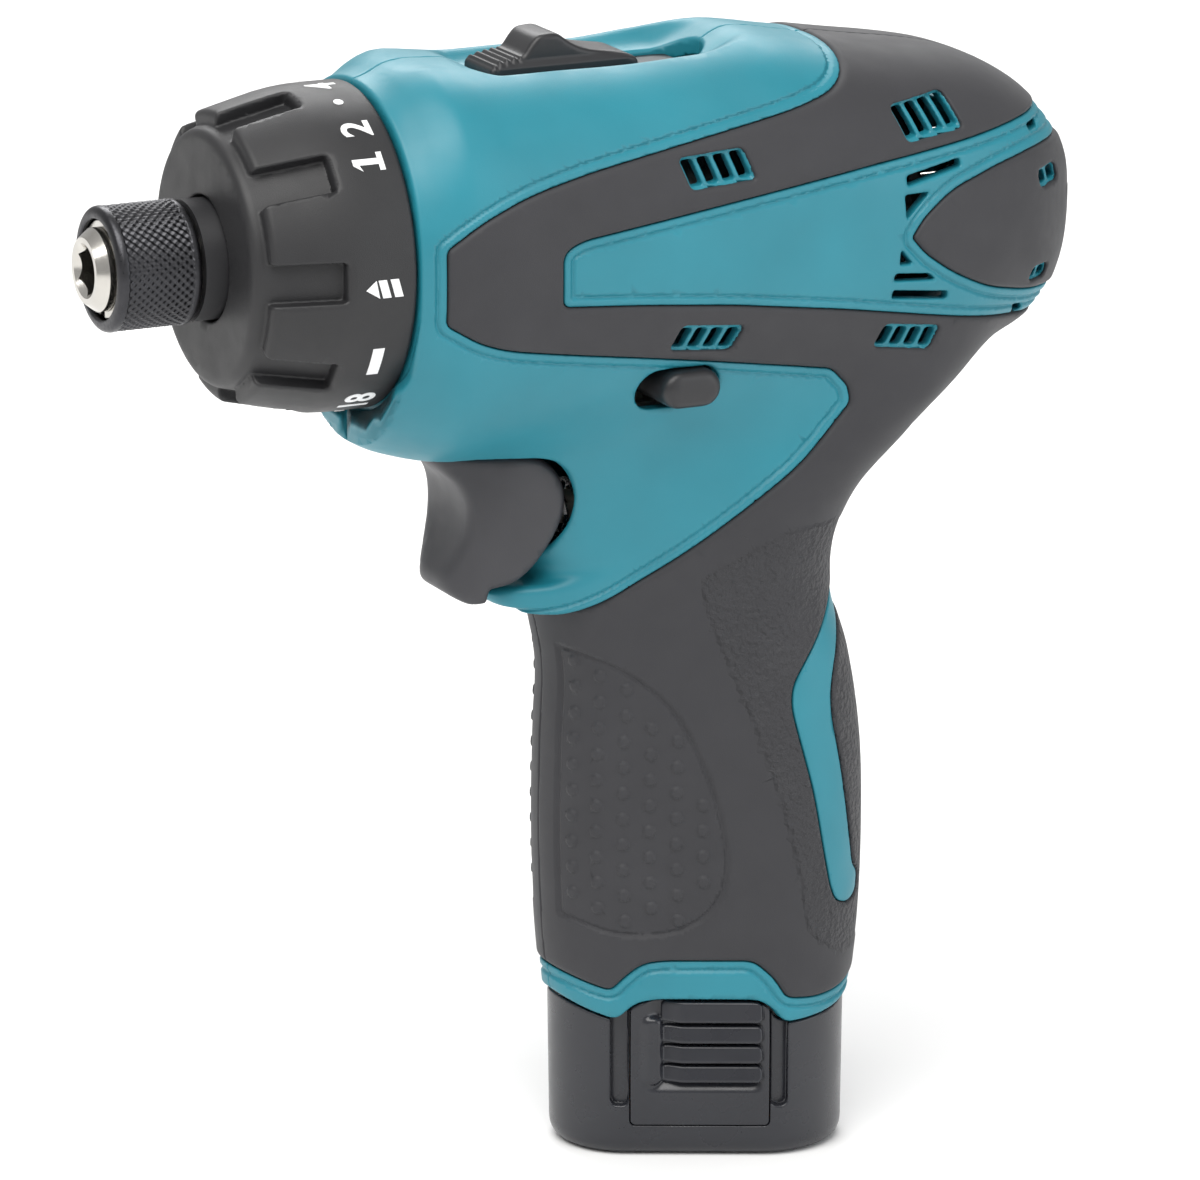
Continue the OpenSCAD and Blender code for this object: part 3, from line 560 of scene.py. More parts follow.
SPLIT = [
    (-70, 30), (-29.5, 28.3, 1), (-27.2, 25.4, 2), (-24.2, 23.6, 2), (-20.4, 22.2, 1.2),
    (-17.8, 24.9, 1.2), (-15, 25.5, 1.2), (-0.8, 25.4, 1.2), (1.3, 23.9, 1.2), (2.9, 21.7, 1.2),
    (7.1, 22, 2), (13, 22.8, 3), (17.2, 24.2, 2), (20, 26.5, 2), (70, 30),
]
BAND_UPPER = [
    (-54.6, 148.6, 0.8), (-49.4, 152.1, 3), (-41.7, 155.4, 4), (-31.7, 157.8, 4), (-17.2, 160.2, 4),
    (-5, 162.3, 4), (3, 163.7, 3), (10.6, 165.4, 3), (14.8, 168.2, 2.5), (16.2, 172.5, 2), (16.2, 184),
]
BAND_LOWER = [
    (-27.8, 87, 3), (-22.1, 89.4, 3), (-16, 93.4, 4), (-9.7, 97.8, 4), (5, 109.4, 4),
    (12.7, 118.2, 1), (12.2, 120.8, 1), (9.4, 123.7, 1), (6.3, 124.2, 2), (-8, 126.6, 4),
    (-22, 129, 4), (-37, 131.3, 4), (-45, 132.6, 3), (-49.6, 134.2, 2), (-54.6, 137.3, 0.8),
]
BASE_BAND = [
    (-70, 32), (-29, 30, 2), (-24, 27.8, 2), (-21.3, 26.9, 0.9), (-19.3, 29.3, 1), (-17, 31.3, 1.5),
    (-14, 31.7, 1), (-1.6, 31.6, 1.5), (1.1, 28.9, 1), (3.1, 25.6, 1), (7.8, 25.1, 2),
    (13, 25.5, 3), (17, 26.6, 2), (21, 28.5, 2), (70, 32),
]
PANEL = [
    (-36.4, 138.6, 1), (-36.4, 146.6, 1.5), (-33.5, 148.1, 2), (-20, 149.9, 3), (-4.3, 152.1, 3),
    (14.3, 154.7, 3), (30, 156.4, 3), (40, 157.6, 3), (49, 158.3, 1), (70, 158.6), (70, 126),
    (48.6, 126.6, 1), (40, 128, 3), (27, 130.4, 3), (10, 133.4, 3), (-8, 136, 3), (-23.6, 137.6, 3),
]
REAR_CAP = [
    (21, 143.2, 0.5), (23, 146, 1.5), (28, 149.8, 3), (36.5, 152.3, 3), (45, 153.6, 3),
    (56, 153.8, 2), (70, 153.8), (70, 130), (55, 130, 2), (44.6, 131.3, 3), (35.4, 133.7, 3),
    (28.2, 137.1, 3), (23.4, 140.5, 1.5),
]
DOT_PAD = [
    (-40, 82.5), (-29.9, 81.6, 2), (-23.8, 79.9, 3), (-18.6, 76.9, 3), (-13.6, 72.6, 3),
    (-10.5, 67, 3), (-8, 60.5, 3), (-6.2, 54, 3), (-5.3, 47.5, 3), (-6, 42.4, 2), (-8.6, 38.6, 2),
    (-12.5, 36.4, 2), (-17, 35.8, 2), (-22, 36.4, 2), (-27, 38.6, 2), (-40, 40),
]
PEBBLES = [
    (-10.2, 92, 3), (-7.2, 82.4, 3), (-4.5, 75, 3), (-1.4, 67, 3), (1.3, 58.2, 3), (3.6, 49.3, 3),
    (4.9, 42.4, 3), (6, 35.5, 2), (12, 31.5, 2), (40, 33), (40, 92), (20, 99, 4), (4, 100, 4),
]
STRIPE = [
    (14.8, 89.4, 0.6), (11.4, 85.2, 2), (5.8, 78.2, 2), (3.8, 75, 2), (3.6, 71.6, 2), (4.6, 67.6, 3),
    (7.3, 57.8, 3), (9.1, 48.4, 3), (10.4, 42.6, 1.5), (11.6, 39.8, 1.5), (14.4, 38.9, 1.2),
    (16.8, 40, 1.2), (17, 43, 1), (15.4, 44.6, 1.5), (14.4, 50, 3), (12.4, 60.8, 3),
    (10.6, 69, 2), (10.4, 72.6, 2), (11.2, 76, 2), (13.2, 81, 2), (15.9, 86.8, 1),
]
MOUTH = [
    (-70, 91.6), (-39.5, 91, 1), (-36.2, 91.7, 2), (-32.8, 93.9, 2), (-29.9, 98, 2.5),
    (-28.1, 102.2, 2.5), (-28, 106.6, 2.5), (-29.6, 110.2, 2), (-32.2, 112.3, 1.5), (-35, 112.9, 1),
    (-70, 112.9),
]
LIP = [
    (-40.4, 90.2, 0.5), (-38, 88.4, 1.5), (-33.5, 87, 2), (-28, 86.9, 2), (-22.4, 89.3, 2), (-18, 92.4, 1),
    (-30, 91.9, 2), (-39.6, 91, 0.6),
]
LOUVRES = [
    [(21.8, 152.6), (31.4, 154.2), (31.6, 152.9), (21.9, 151)],
    [(21.4, 149.8), (25.8, 149.8), (21.7, 146)],
    [(20.8, 141.6), (22.9, 139.2), (20.6, 139.2)],
    [(19.9, 138), (25.8, 137.4), (27, 136.3), (19.7, 136.8)],
    [(19.7, 135.4), (29.4, 134.2), (29.2, 133), (19.6, 134.1)],
    [(46.4, 156.6), (48.9, 156.8), (48.6, 155.7), (46.4, 155.6)],
    [(44.4, 128.9), (46.8, 128.6), (46.8, 127.6), (44.6, 127.8)],
]

# Each vent: centre x and z, length, height, slope of its length, lean of its slots, slot count
VENTS = [
    (-11.1, 156.6, 10.6, 4.9, 0.07, 0.35, 4), (25.2, 160.4, 10.2, 5.6, 0.1, 0.35, 4),
    (-12.6, 131.3, 10.4, 4.0, -0.1, -0.45, 4), (21.4, 127.7, 9.6, 3.8, -0.13, -0.45, 4),
    (48, 148.7, 4.6, 3, 0.1, 0.3, 2), (46.8, 133.8, 4, 2.2, 0, -0.3, 2),
]


split_line = Outline(SPLIT + [(70, -20), (-70, -20)])
REAR_AND_HANDLE = [(70, 184), (70, 20), (-70, 20), (-70, 86.4), (-33, 86.4, 2)]
upper_and_rear = Outline(BAND_UPPER + REAR_AND_HANDLE + BAND_LOWER)
base_line = Outline(BASE_BAND + [(70, -20), (-70, -20)])
panel = Outline(PANEL)
rear_cap = Outline(REAR_CAP)
dot_pad = Outline(DOT_PAD)
pebbles = Outline(PEBBLES)
stripe = Outline(STRIPE)
mouth = Outline(MOUTH)
lip_side = Outline(LIP)
louvres = [Outline([(u - 1.6, v, 0.4) for u, v in points]) for points in LOUVRES]


def grip_region(x, z):
    """Where the rubber lies, in the side view"""
    f = smooth_max(upper_and_rear(x, z), -base_line(x, z), 0.6)
    f = smooth_max(f, -panel(x, z), 0.5)
    f = np.minimum(f, rear_cap(x, z))
    f = smooth_max(f, -stripe(x, z), 0.5)
    return f


def vent_frame(x, z, vent):
    cx, cz, _, _, slope, lean, _ = vent
    u = x - cx
    v = z - cz - slope * u
    return u + lean * v, v


def vent_patch(x, z):
    """The windows in the rubber round each group of slots"""
    nearest = np.full_like(x, FAR)
    for vent in VENTS:
        u, v = vent_frame(x, z, vent)
        nearest = np.minimum(nearest, rounded_box(u, v, vent[2] / 2, vent[3] / 2, 0.9))
    return nearest


def vent_slots(x, z):
    nearest = np.full_like(x, FAR)
    for vent in VENTS:
        u, v = vent_frame(x, z, vent)
        count = vent[6]
        pitch = vent[2] / count
        for i in range(count):
            du = np.abs(u - (i - (count - 1) / 2) * pitch) - pitch * 0.35
            dv = np.abs(v) - (vent[3] / 2 - 0.5)
            nearest = np.minimum(nearest, smooth_max(du, dv, 0.5))
    return nearest


# ------------------------------------------------------------------ housing halves and grips

SLOT_FRONT, SLOT_REAR, SLOT_HALF = -38.9, -5.8, 5.5
HOLE_X, HOLE_Z, HOLE_LEN, HOLE_H = -15.8, 123.3, 13.6, 6.6


def screw_spots():
    """Where the screws are, from the CAD screws themselves"""
    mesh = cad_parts["housing_screws"].data
    links = bmesh.new()
    links.from_mesh(mesh)
    bmesh.ops.remove_doubles(links, verts=links.verts, dist=1e-6)
    seen, spots = set(), []
    for start in links.verts:
        if start in seen:
            continue
        group, stack = [], [start]
        seen.add(start)
        while stack:
            vert = stack.pop()
            group.append(vert.co)
            for edge in vert.link_edges:
                other = edge.other_vert(vert)
                if other not in seen:
                    seen.add(other)
                    stack.append(other)
        low = np.min(group, axis=0)
        high = np.max(group, axis=0)
        middle = (low + high) / 2 / MM
        spots.append((float(middle[0]), float(middle[2])))
    links.free()
    return spots


SCREWS = screw_spots()


def screw_pockets(x, y, z):
    nearest = np.full_like(x, FAR)
    for cx, cz in SCREWS:
        nearest = np.minimum(nearest, np.hypot(x - cx, z - cz) - 3.1)
    return np.maximum(nearest, 7 - y)


def openings(x, y, z):
    """Everything that passes through the housing wall, as one distance"""
    # The selector slot: square in front, round at the rear
    middle, length = (SLOT_FRONT + SLOT_REAR) / 2 + 2, SLOT_REAR - SLOT_FRONT + 4
    slot = np.maximum(bar_hole(x, y, middle, 0, length, 2 * SLOT_HALF), SLOT_FRONT - x)
    slot = np.maximum(slot, AXIS + 15 - z)
    lever = bar_hole(x, z, HOLE_X, HOLE_Z, HOLE_LEN, HOLE_H)
    f = np.minimum(np.minimum(slot, lever), mouth(x, z))
    # The front end: the bore for the gear case, and a wider step round the clutch ring
    r = np.hypot(y, z - AXIS)
    f = np.minimum(f, np.minimum(np.maximum(r - 22.3, x + 50), np.maximum(r - 24.8, x + 58.5)))
    for louvre in louvres:
        f = np.minimum(f, np.maximum(louvre(x, z), 6 - np.abs(y)))
    return f


def trigger_lip(x, y, z):
    plan = (np.hypot((x + 20) / 20.4, y / 11.6) - 1) * 11.6
    return smooth_max(lip_side(x, z), plan, 1.4)


def outer_skin(x, y, z):
    return smooth_min(body(x, y, z), trigger_lip(x, y, z), 3.0)


def trigger_room(x, y, z):
    """The space the trigger needs behind the mouth, and the shallow tray its foot slides in"""
    deep = np.maximum(np.maximum(89.3 - z, z - 113.2), np.maximum(np.abs(y) - 11.6, x + 17))
    tray = np.maximum(np.maximum(89.3 - z, z - 95), np.maximum(np.abs(y) - 9.6, x + 29))
    return np.minimum(deep, tray)


def teal_field(side):
    def field(x, y, z):
        skin = outer_skin(x, y, z)
        where = grip_region(x, z)
        groove = np.clip(0.42 - 0.85 * np.abs(where - 1.4), 0, 1) * smooth_step(stripe(x, z) / 1.5)
        vents = vent_patch(x, z)
        vent_sink = 0.55 * smooth_step(-vents / 0.5 + 0.3)
        f = skin + groove + np.where(where < 0, vent_sink, 0)
        under = np.maximum(where, -(vents - 0.1))
        pocket = smooth_max(under, -(skin + RUBBER - 0.1), 0.15)
        f = smooth_max(f, -pocket, 0.35)
        f = np.maximum(f, -np.maximum(skin + WALL, -56 - x))
        f = np.maximum(f, -np.maximum(trigger_room(x, y, z), skin + 0.9))
        f = smooth_max(f, -openings(x, y, z), 0.5)
        f = smooth_max(f, -np.maximum(vent_slots(x, z), 5 - np.abs(y)), 0.25)
        f = smooth_max(f, -split_line(x, z), 0.5)
        if side > 0:
            f = smooth_max(f, -screw_pockets(x, y, z), 0.4)
        return smooth_max(f, HALF_GAP - side * y, 0.25)
    return field


DOT_PITCH = 4.05
DOT_RAISE = 0.42


def dot_centres():
    """Staggered rows of dots that follow the handle's front corner round its side"""
    spots = []
    for column in range(7):
        for row in range(13):
            z = 38.3 + (row + 0.5 * (column % 2)) * DOT_PITCH
            front_x, front_r, rear_x, rear_y, rear_r = (float(f(z)) for f in HANDLE)
            tilt = math.atan2(rear_y, rear_x - front_x)
            spread_angle = math.asin((rear_r - front_r) / math.hypot(rear_x - front_x, rear_y))
            tangent = math.pi / 2 + tilt + spread_angle
            distance = 7.3 + column * DOT_PITCH
            bend = front_r * (math.pi - tangent)
            if distance < bend:
                a = math.pi - distance / front_r
                x, y = front_x + front_r * math.cos(a), -front_r * math.sin(a)
            else:
                a = tangent
                x = front_x + front_r * math.cos(a) + (distance - bend) * math.sin(a)
                y = -(front_r * math.sin(a) - (distance - bend) * math.cos(a))
            if dot_pad(np.array([x]), np.array([z]))[0] < -1.4:
                spots.append((x, y, z))
    return spots


DOTS = dot_centres()


def dots_height(x, y, z):
    """How far the dots stand out of the pad"""
    height = np.zeros_like(x)
    near = (z < 84) & (x < 0)
    px, py, pz = x[near], -np.abs(y[near]), z[near]
    total = np.zeros_like(px)
    for cx, cy, cz in DOTS:
        d2 = (px - cx) ** 2 + (py - cy) ** 2 + (pz - cz) ** 2
        total = np.maximum(total, DOT_RAISE * smooth_step((1.1 - np.sqrt(d2)) / 0.45))
    height[near] = total
    return height


def rubber_field(side):
    def field(x, y, z):
        skin = body(x, y, z)
        where = grip_region(x, z)
        pad = smooth_max(dot_pad(x, z), 4.6 - np.abs(y), 0.8)
        pad_step = 0.3 * smooth_step((0.2 - pad) / 0.5)
        line = np.clip(0.4 - 0.8 * np.abs(pad), 0, 1)
        height = PROUD - np.where(x < 2, pad_step + line, 0) + dots_height(x, y, z)
        height = height - 0.12 * smooth_step(-pebbles(x, z) / 0.4)
        f = smooth_max(skin - height, where + 0.12, 0.9)
        f = np.maximum(f, -(skin + RUBBER - 0.15))
        f = smooth_max(f, -vent_patch(x, z), 0.6)
        f = smooth_max(f, -openings(x, y, z), 0.4)
        f = smooth_max(f, -(trigger_lip(x, y, z) - 0.1), 0.3)
        if side > 0:
            f = smooth_max(f, -screw_pockets(x, y, z), 0.4)
        return smooth_max(f, HALF_GAP - side * y, 0.25)
    return field


def build_housing():
    step = 0.34
    for side, word in ((-1, "left"), (1, "right")):
        near, far = (-27.2, 0) if side < 0 else (0, 27.2)
        shell = solid("housing_shell_" + word, teal_field(side), (-59, near, 21), (58, far, 175), step, 0.02)
        place(shell, "housing", TEAL, "housing", "housing_" + word)
        skin = solid("rubber_grip_" + word, rubber_field(side), (-56, near, 24), (58, far, 175), step, 0.02)
        points = np.empty(len(skin.data.vertices) * 3, np.float32)
        skin.data.vertices.foreach_get("co", points)
        points = points.reshape(-1, 3).astype(float) / MM
        mask = skin.data.attributes.new("pebbled", "FLOAT", "POINT")
        mask.data.foreach_set(
            "value", smooth_step(-pebbles(points[:, 0], points[:, 2]) / 0.6).astype(np.float32))
        place(skin, "housing", RUBBER_SKIN, "overmould", "grip_" + word)


# ------------------------------------------------------------------ battery and its latches

FLAT = math.atan2(8.6, 18.6) - math.asin(0.4 / math.hypot(18.6, 8.6))
LATCH_X, LATCH_Y = -8.7, 15.6
LATCH_HALF, LATCH_LOW, LATCH_TOP = 10.7, 5.0, 30
LATCH_MIDDLE, LATCH_RISE = (LATCH_LOW + LATCH_TOP) / 2, (LATCH_TOP - LATCH_LOW) / 2
LATCH_GAP = 0.12
BATTERY_WALL = 2.3


def latch_frame(x, y):
    """Distances along a slanted side of the battery and out of it"""
    u = (x - LATCH_X) * math.cos(FLAT) + (np.abs(y) - LATCH_Y) * math.sin(FLAT)
    v = (np.abs(y) - LATCH_Y) * math.cos(FLAT) - (x - LATCH_X) * math.sin(FLAT)
    return u, v


def block_outline(x, y):
    return corner_hull(x, y, -13.6, 12.0, 5.0, 8.6, 12.4)


def battery_outside(x, y, z):
    grow = 0.012 * np.clip(z - 3, 0, 22)
    return smooth_max(block_outline(x, y) - grow, -z, 3.2)


def battery_field(x, y, z):
    u, v = latch_frame(x, y)
    outside = battery_outside(x, y, z)
    f = smooth_max(outside, split_line(x, z) + 0.3, 0.4)
    f = np.maximum(f, -np.maximum(outside + BATTERY_WALL, 2.2 - z))
    window = rounded_box(u, z - LATCH_MIDDLE, LATCH_HALF, LATCH_RISE, 0.8)
    f = smooth_max(f, -np.maximum(window, -3.5 - v), 0.08)
    for middle, half in ((-12.3, 1.35), (12.1, 1.25)):
        slot = rounded_box(u - middle, z - 20, half, 11.8, 1.0)
        f = smooth_max(f, -np.maximum(slot, -(outside + 1.5)), 0.4)
    return f


def latch_field(side):
    def field(x, y, z):
        u, _ = latch_frame(x, y)
        outside = battery_outside(x, y, z)
        scoop = 1.3 * smooth_step((u + 9) / 3) * smooth_step((10.3 - u) / 2.5)
        scoop = scoop * smooth_step((z - 10.2) / 2.5)
        f = smooth_max(outside + scoop, -(outside + BATTERY_WALL), 0.2)
        for low, high in ((21.7, 25.0), (18.4, 21.1), (15.2, 17.9), (12.1, 14.7)):
            slope = 0.65 * (high - z) / (high - low) - 0.9 * smooth_step((-2.5 - u) / 3)
            step = rounded_box(u - 1.8, z - (low + high) / 2, 7.7, (high - low) / 2, 0.9)
            step = smooth_max(smooth_max(step, outside - slope, 0.5), -(outside + 2), 0.2)
            f = smooth_min(f, step, 0.15)
        ridge = rounded_box(u + 7.2, z - 17, 1.3, 5.4, 1.2)
        ridge = smooth_max(smooth_max(ridge, outside - 0.45, 0.9), -(outside + 2), 0.2)
        f = smooth_min(f, ridge, 0.9)
        panel_edge = rounded_box(u, z - LATCH_MIDDLE, LATCH_HALF - LATCH_GAP, LATCH_RISE - LATCH_GAP, 0.8)
        f = smooth_max(f, panel_edge, 0.08)
        f = smooth_max(f, split_line(x, z) + 0.35, 0.4)
        return np.maximum(f, 5 - side * y)
    return field


def build_battery():
    case = solid("battery_shell", battery_field, (-26, -22, 0), (18.5, 22, 29.6), 0.28)
    place(case, "battery", BATTERY, "battery_plastic", "battery_case")
    for side, word in ((-1, "left"), (1, "right")):
        near, far = (-22.5, -5) if side < 0 else (5, 22.5)
        latch = solid("latch_button_" + word, latch_field(side), (-21, near, 4.5), (4, far, 26.5), 0.2)
        place(latch, "latch_" + word, BATTERY, "battery_plastic", "latch_" + word)


# ------------------------------------------------------------------ trigger and the two sliders

TRIGGER = [
    (-47.4, 110.9, 0.8), (-46.2, 109.6, 1.5), (-44.2, 107.6, 2.5), (-43.3, 104.4, 3), (-43.5, 100.6, 3),
    (-45, 96.2, 3), (-46.4, 93.2, 1.5), (-46.3, 91.4, 1.3), (-43.6, 89.6, 1.2), (-40.6, 89.6, 0.6),
    (-40.2, 91.8, 0.5), (-36.4, 92.2, 2), (-33.4, 94.4, 2), (-30.6, 98.3, 2.5), (-28.7, 102.6, 2.5),
    (-28.7, 106.4, 2.5), (-30.2, 109.8, 2), (-32.8, 111.9, 1.5), (-35, 112.4, 1), (-46.6, 112.4, 0.8),
]
trigger_side = Outline(TRIGGER)
TRIGGER_HALF = 11.2


def trigger_field(x, y, z):
    wide = np.abs(y) - TRIGGER_HALF + 0.08 * np.clip(108 - z, 0, 20) ** 1.2
    f = smooth_max(trigger_side(x, z), wide, 1.6)
    f = smooth_max(f, (np.hypot((x + 29) / 18.4, y / 12.8) - 1) * 12.8, 1.0)
    well = np.maximum(np.hypot(y, z - 101) - 6, -36.2 - x)
    return smooth_max(f, -well, 0.2)


LEVER = [
    (-38.2, 168.1, 0.3), (-38.3, 169.9, 0.8), (-37, 170.8, 0.8), (-32.6, 171.5, 0.6), (-31.2, 173.4, 0.8),
    (-30.2, 174.4, 0.8), (-27.2, 174.6, 1), (-24.6, 172.6, 2), (-22, 171.6, 2), (-16, 170.7, 1.2),
    (-14.1, 169.7, 0.8), (-14, 168.1, 0.3),
]
lever_side = Outline(LEVER)
RIB_PITCH = 1.15


def lever_field(x, y, z):
    ribbed = smooth_step((-32.9 - x) / 0.3) * smooth_step((x + 37.8) / 0.3)
    ridges = 0.22 * np.cos((x + 36.4) * math.tau / RIB_PITCH) * ribbed
    taper = 5.1 - 0.6 * smooth_step((z - 169.8) / 1.2)
    return smooth_max(lever_side(x, z) - ridges, np.abs(y) - taper, 0.9)


def knob_field(x, y, z):
    f = smooth_max(bar_hole(x, z, -14.6, 123.5, 9.6, 5.8), np.abs(y + 3) - 22, 1.8)
    hollow = np.maximum(np.maximum(np.abs(x + 13.9) - 2.7, np.abs(y) - 10), z - 123)
    return smooth_max(f, -np.maximum(hollow, 119 - z), 0.3)


def build_controls():
    trigger = solid(
        "trigger_button", trigger_field, (-47.6, -11.9, 88.4), (-28.4, 11.9, 112.6), 0.28, 0.05)
    place(trigger, "trigger", TRIGGER_GREY, "black_plastic", "trigger")
    lever = solid("selector_knob", lever_field, (-38.6, -4.9, 168), (-13.8, 4.9, 174.9), 0.16, 0.05)
    place(lever, "selector", LEVER_BLACK, "black_plastic", "selector_lever")
    knob = solid("reverse_knob", knob_field, (-19.6, -25.2, 120.4), (-9.6, 19.2, 126.6), 0.3, 0.05)
    place(knob, "reverse_lever", LEVER_BLACK, "black_plastic", "reverse_lever")


# ------------------------------------------------------------------ clutch ring and sleeve

RING_FRONT, RING_REAR = float(RING_LOW[0]), float(RING_HIGH[0])
RING_R = float(RING_HIGH[1])
POCKETS = 9


def ring_field(x, y, z):
    r = np.hypot(y, z - AXIS)
    turn = np.arctan2(-y, z - AXIS)
    floor = 19.2 + 0.235 * (x - RING_FRONT - 1.2)
    base = (r - floor) * 0.97
    base = smooth_max(base, RING_FRONT - x, 1.5)
    proud = smooth_max((r - floor - 2.2) * 0.97, RING_FRONT + 2.0 - x, 1.0)
    pitch = math.tau / POCKETS
    around = np.abs((turn - math.pi / 2 + pitch / 2) % pitch - pitch / 2) * r
    finger = smooth_max(around - 3.0, x + 69.2 + 0.05 * (r - 22), 1.2)
    proud = smooth_max(proud, -finger, 0.45)
    band = smooth_max(r - RING_R, -69.6 - x, 1.5)
    f = smooth_min(base, proud, 0.35)
    f = np.minimum(f, smooth_max(band, r - RING_R, 0.3))
    f = smooth_max(f, r - RING_R, 0.9)
    f = smooth_max(f, x - RING_REAR, 0.8)
    hollow = np.maximum(r - np.minimum(floor - 2.1, RING_R - 2.3), RING_FRONT + 2.4 - x)
    f = np.maximum(f, -hollow)
    return smooth_max(f, 9.35 - r, 0.5)


SLEEVE_FRONT, SLEEVE_REAR = float(SLEEVE_LOW[0]), float(SLEEVE_HIGH[0])
SLEEVE_R = float(SLEEVE_HIGH[1])
KNURLS = 44


def sleeve_field(x, y, z):
    r = np.hypot(y, z - AXIS)
    turn = np.arctan2(y, z - AXIS) / math.tau * KNURLS
    along = (x - SLEEVE_FRONT) / 1.35
    cut = np.abs((turn + along) % 1 - 0.5) + np.abs((turn - along) % 1 - 0.5)
    fade = smooth_step((x - SLEEVE_FRONT - 1.3) / 0.3) * smooth_step((SLEEVE_REAR - 1.2 - x) / 0.3)
    f = (r - SLEEVE_R + 0.32 * (1 - cut) * fade) * 0.85
    f = smooth_max(f, SLEEVE_FRONT - x, 1.2)
    f = smooth_max(f, x - SLEEVE_REAR, 0.9)
    f = np.maximum(f, -np.maximum(np.maximum(r - 8.2, x - SLEEVE_REAR + 4), SLEEVE_FRONT + 0.9 - x))
    f = smooth_max(f, -np.maximum(r - 7.4, x - SLEEVE_FRONT - 2), 0.4)
    return np.maximum(f, 6.06 - r)


MARK_X = -63.9


def wrap_on_ring(points, turn, radius):
    """Bends flat points round the clutch ring: up in the mark is toward the nose"""
    angle = math.radians(turn) - points[:, 0] / radius
    r = radius + points[:, 2]
    return np.column_stack((MARK_X - points[:, 1], -r * np.sin(angle), AXIS + r * np.cos(angle)))


def plate_mesh(loop, thickness=0.07):
    """A thin plate with a convex outline, as points and faces"""
    loop = np.array(loop, float)
    n = len(loop)
    points = np.vstack([np.column_stack((loop, np.full(n, h))) for h in (-0.04, thickness)])
    faces = [list(range(n))[::-1], list(range(n, 2 * n))]
    faces += [[i, (i + 1) % n, n + (i + 1) % n, n + i] for i in range(n)]
    return points, faces


# A capital's share of the font size, and the length of the strips a mark is cut into to bend
CAPITAL = 0.73
STRIP = 0.7


def text_mesh(text, height):
    """Raised flat characters, cut into strips so that they can bend, as points and faces"""
    data = bpy.data.curves.new("mark", "FONT")
    data.body = text
    data.size = height / CAPITAL
    data.align_x = "CENTER"
    data.extrude = 0.055
    data.resolution_u = 4
    data.offset = 0.13
    shape = bpy.data.objects.new("mark", data)
    bpy.context.scene.collection.objects.link(shape)
    bpy.context.view_layer.update()
    mesh = shape.to_mesh().copy()
    bpy.data.objects.remove(shape)
    cutter = bmesh.new()
    cutter.from_mesh(mesh)
    bmesh.ops.remove_doubles(cutter, verts=cutter.verts, dist=1e-4)
    xs = [v.co.x for v in cutter.verts]
    cut = min(xs) + STRIP
    while cut < max(xs):
        bmesh.ops.bisect_plane(
            cutter, geom=cutter.verts[:] + cutter.edges[:] + cutter.faces[:],
            plane_co=(cut, 0, 0), plane_no=(1, 0, 0), dist=1e-4)
        cut += STRIP
    bmesh.ops.recalc_face_normals(cutter, faces=cutter.faces)
    cutter.verts.index_update()
    points = np.array([v.co[:] for v in cutter.verts])
    points[:, 1] -= height / 2
    faces = [[v.index for v in f.verts] for f in cutter.faces]
    cutter.free()
    return points, faces


def disc(cx, cy, r, sides=16):
    return [(cx + r * math.cos(a), cy + r * math.sin(a)) for a in np.arange(sides) * math.tau / sides]


def bar(x0, x1, y0, y1):
    return [(x0, y0), (x1, y0), (x1, y1), (x0, y1)]


# Where the marks stand round the ring, in degrees from the top
LAST_NUMBER, LAST_TURN, NUMBER_PITCH = 18, 148, 15.35
ONE_TURN, BARS_TURN, BARS_PITCH, ARROW_TURN = 48, 117.5, 3.05, 93


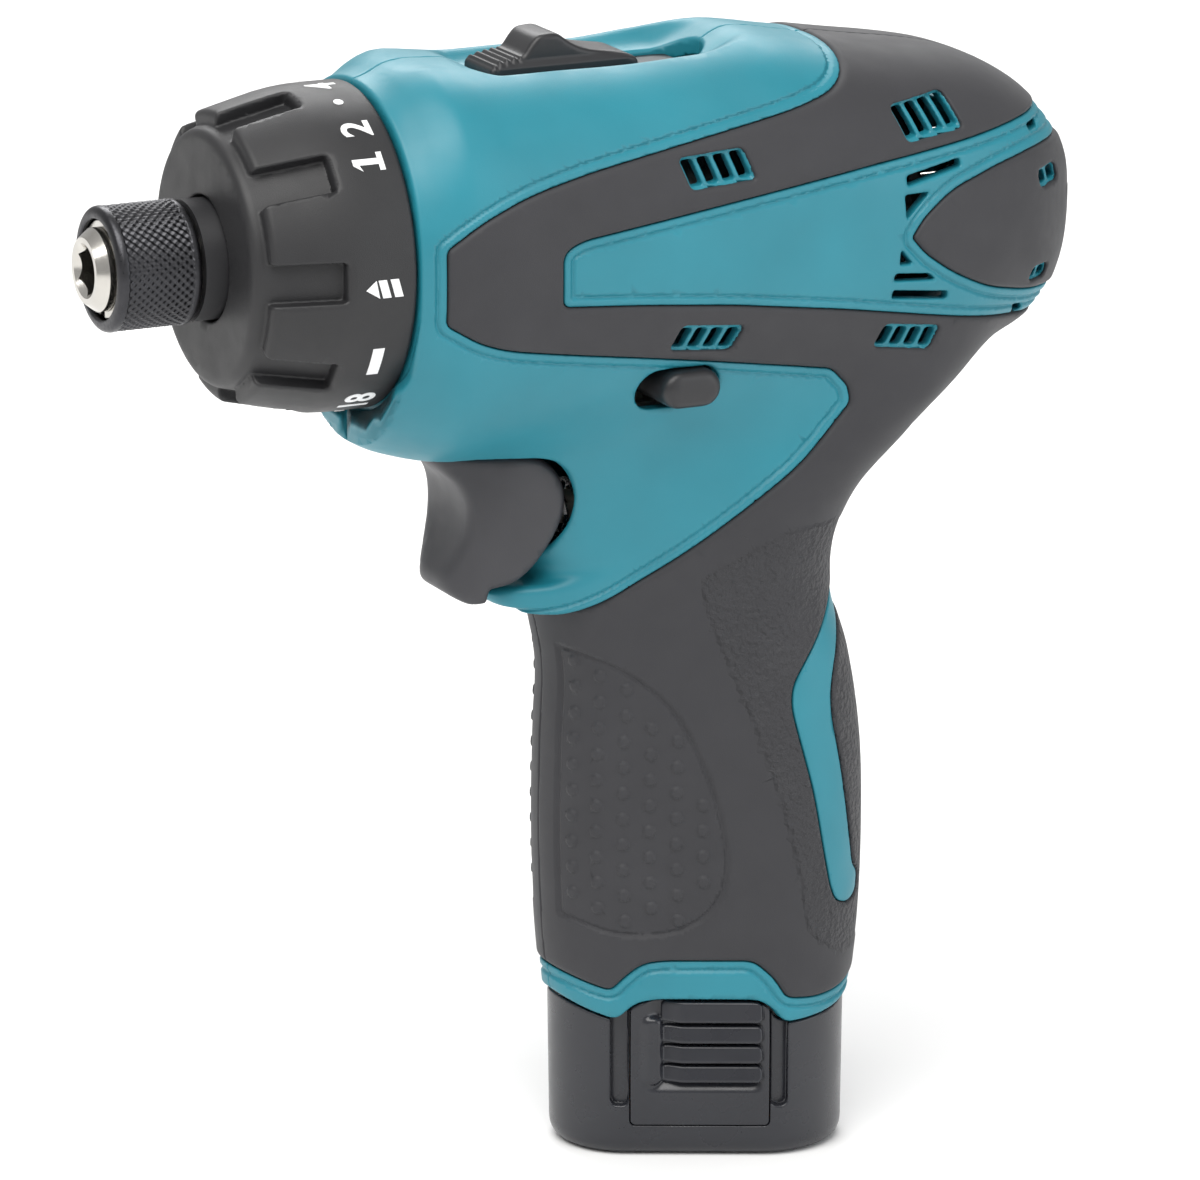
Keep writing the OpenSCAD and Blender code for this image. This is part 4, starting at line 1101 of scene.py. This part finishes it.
def build_marks():
    """The printed scale: even numbers with dots between them, four bars, an arrow and the 1"""
    points, faces = [], []

    def add(shape, turn):
        at = sum(len(p) for p in points)
        points.append(wrap_on_ring(shape[0], turn, RING_R))
        faces.extend([[at + i for i in face] for face in shape[1]])

    for number in range(2, LAST_NUMBER + 1):
        turn = LAST_TURN + (LAST_NUMBER - number) * NUMBER_PITCH
        if number % 2 == 0:
            add(text_mesh(str(number), 4.7), turn)
        else:
            add(plate_mesh(disc(0, 0, 0.75)), turn)
    stem, foot = bar(-0.5, 0.5, -2.4, 2.4), bar(-1.5, 1.5, -2.45, -1.6)
    flag = [(-1.5, 1.1), (-0.5, 1.5), (-0.5, 2.4)]
    for loop in (stem, flag, foot):
        add(plate_mesh(loop), ONE_TURN)
    for k in range(4):
        add(plate_mesh(bar(-0.66, 0.66, -0.8, 1.0)), BARS_TURN + k * BARS_PITCH)
    stripes = [
        [(-1.35, y - 0.3), (1.35, y + 0.5), (1.35, y - 0.8), (-1.35, y - 1.6)] for y in (0.7, -1.2)]
    for loop in stripes + [[(-1.35, 0.9), (1.35, 1.5), (0, 3.1)]]:
        add(plate_mesh(loop), ARROW_TURN)
    mesh = bpy.data.meshes.new("dial_marks")
    mesh.from_pydata((np.vstack(points) * MM).tolist(), [], faces)
    marks = bpy.data.objects.new("dial_marks", mesh)
    bpy.context.scene.collection.objects.link(marks)
    place(marks, "clutch_ring", WHITE, "white_plastic")


def build_nose():
    low = (RING_FRONT, -RING_R - 0.2, AXIS - RING_R - 0.2)
    high = (RING_REAR, RING_R + 0.2, AXIS + RING_R + 0.2)
    ring = solid("clutch_dial", ring_field, low, high, 0.32, 0.03)
    place(ring, "clutch_ring", BLACK, "black_plastic", "clutch_ring")
    low = (SLEEVE_FRONT, -SLEEVE_R, AXIS - SLEEVE_R)
    high = (SLEEVE_REAR, SLEEVE_R, AXIS + SLEEVE_R)
    sleeve = solid("knurled_sleeve", sleeve_field, low, high, 0.17)
    place(sleeve, "bit_sleeve", BLACK_STEEL, "black_steel", "bit_sleeve")
    build_marks()


def add_floor():
    mesh = bpy.data.meshes.new("floor")
    reach = 6.0
    mesh.from_pydata(
        [(-reach, -reach, 0), (reach, -reach, 0), (reach, reach, 0), (-reach, reach, 0)], [], [(0, 1, 2, 3)])
    floor = bpy.data.objects.new("floor", mesh)
    bpy.context.scene.collection.objects.link(floor)
    material, tree, bsdf = shader("pale_floor")
    share = spread(tree, noise(tree, 300, 2), 0, 1)
    pale = two_colors(tree, share, (0.86, 0.86, 0.86), (0.9, 0.9, 0.9))
    tree.links.new(pale, bsdf.inputs["Base Color"])
    bsdf.inputs["Roughness"].default_value = 0.9
    mesh.materials.append(material)


add_camera()
add_lights()
finish_cad_nodes()
build_housing()
build_battery()
build_controls()
build_nose()
add_floor()
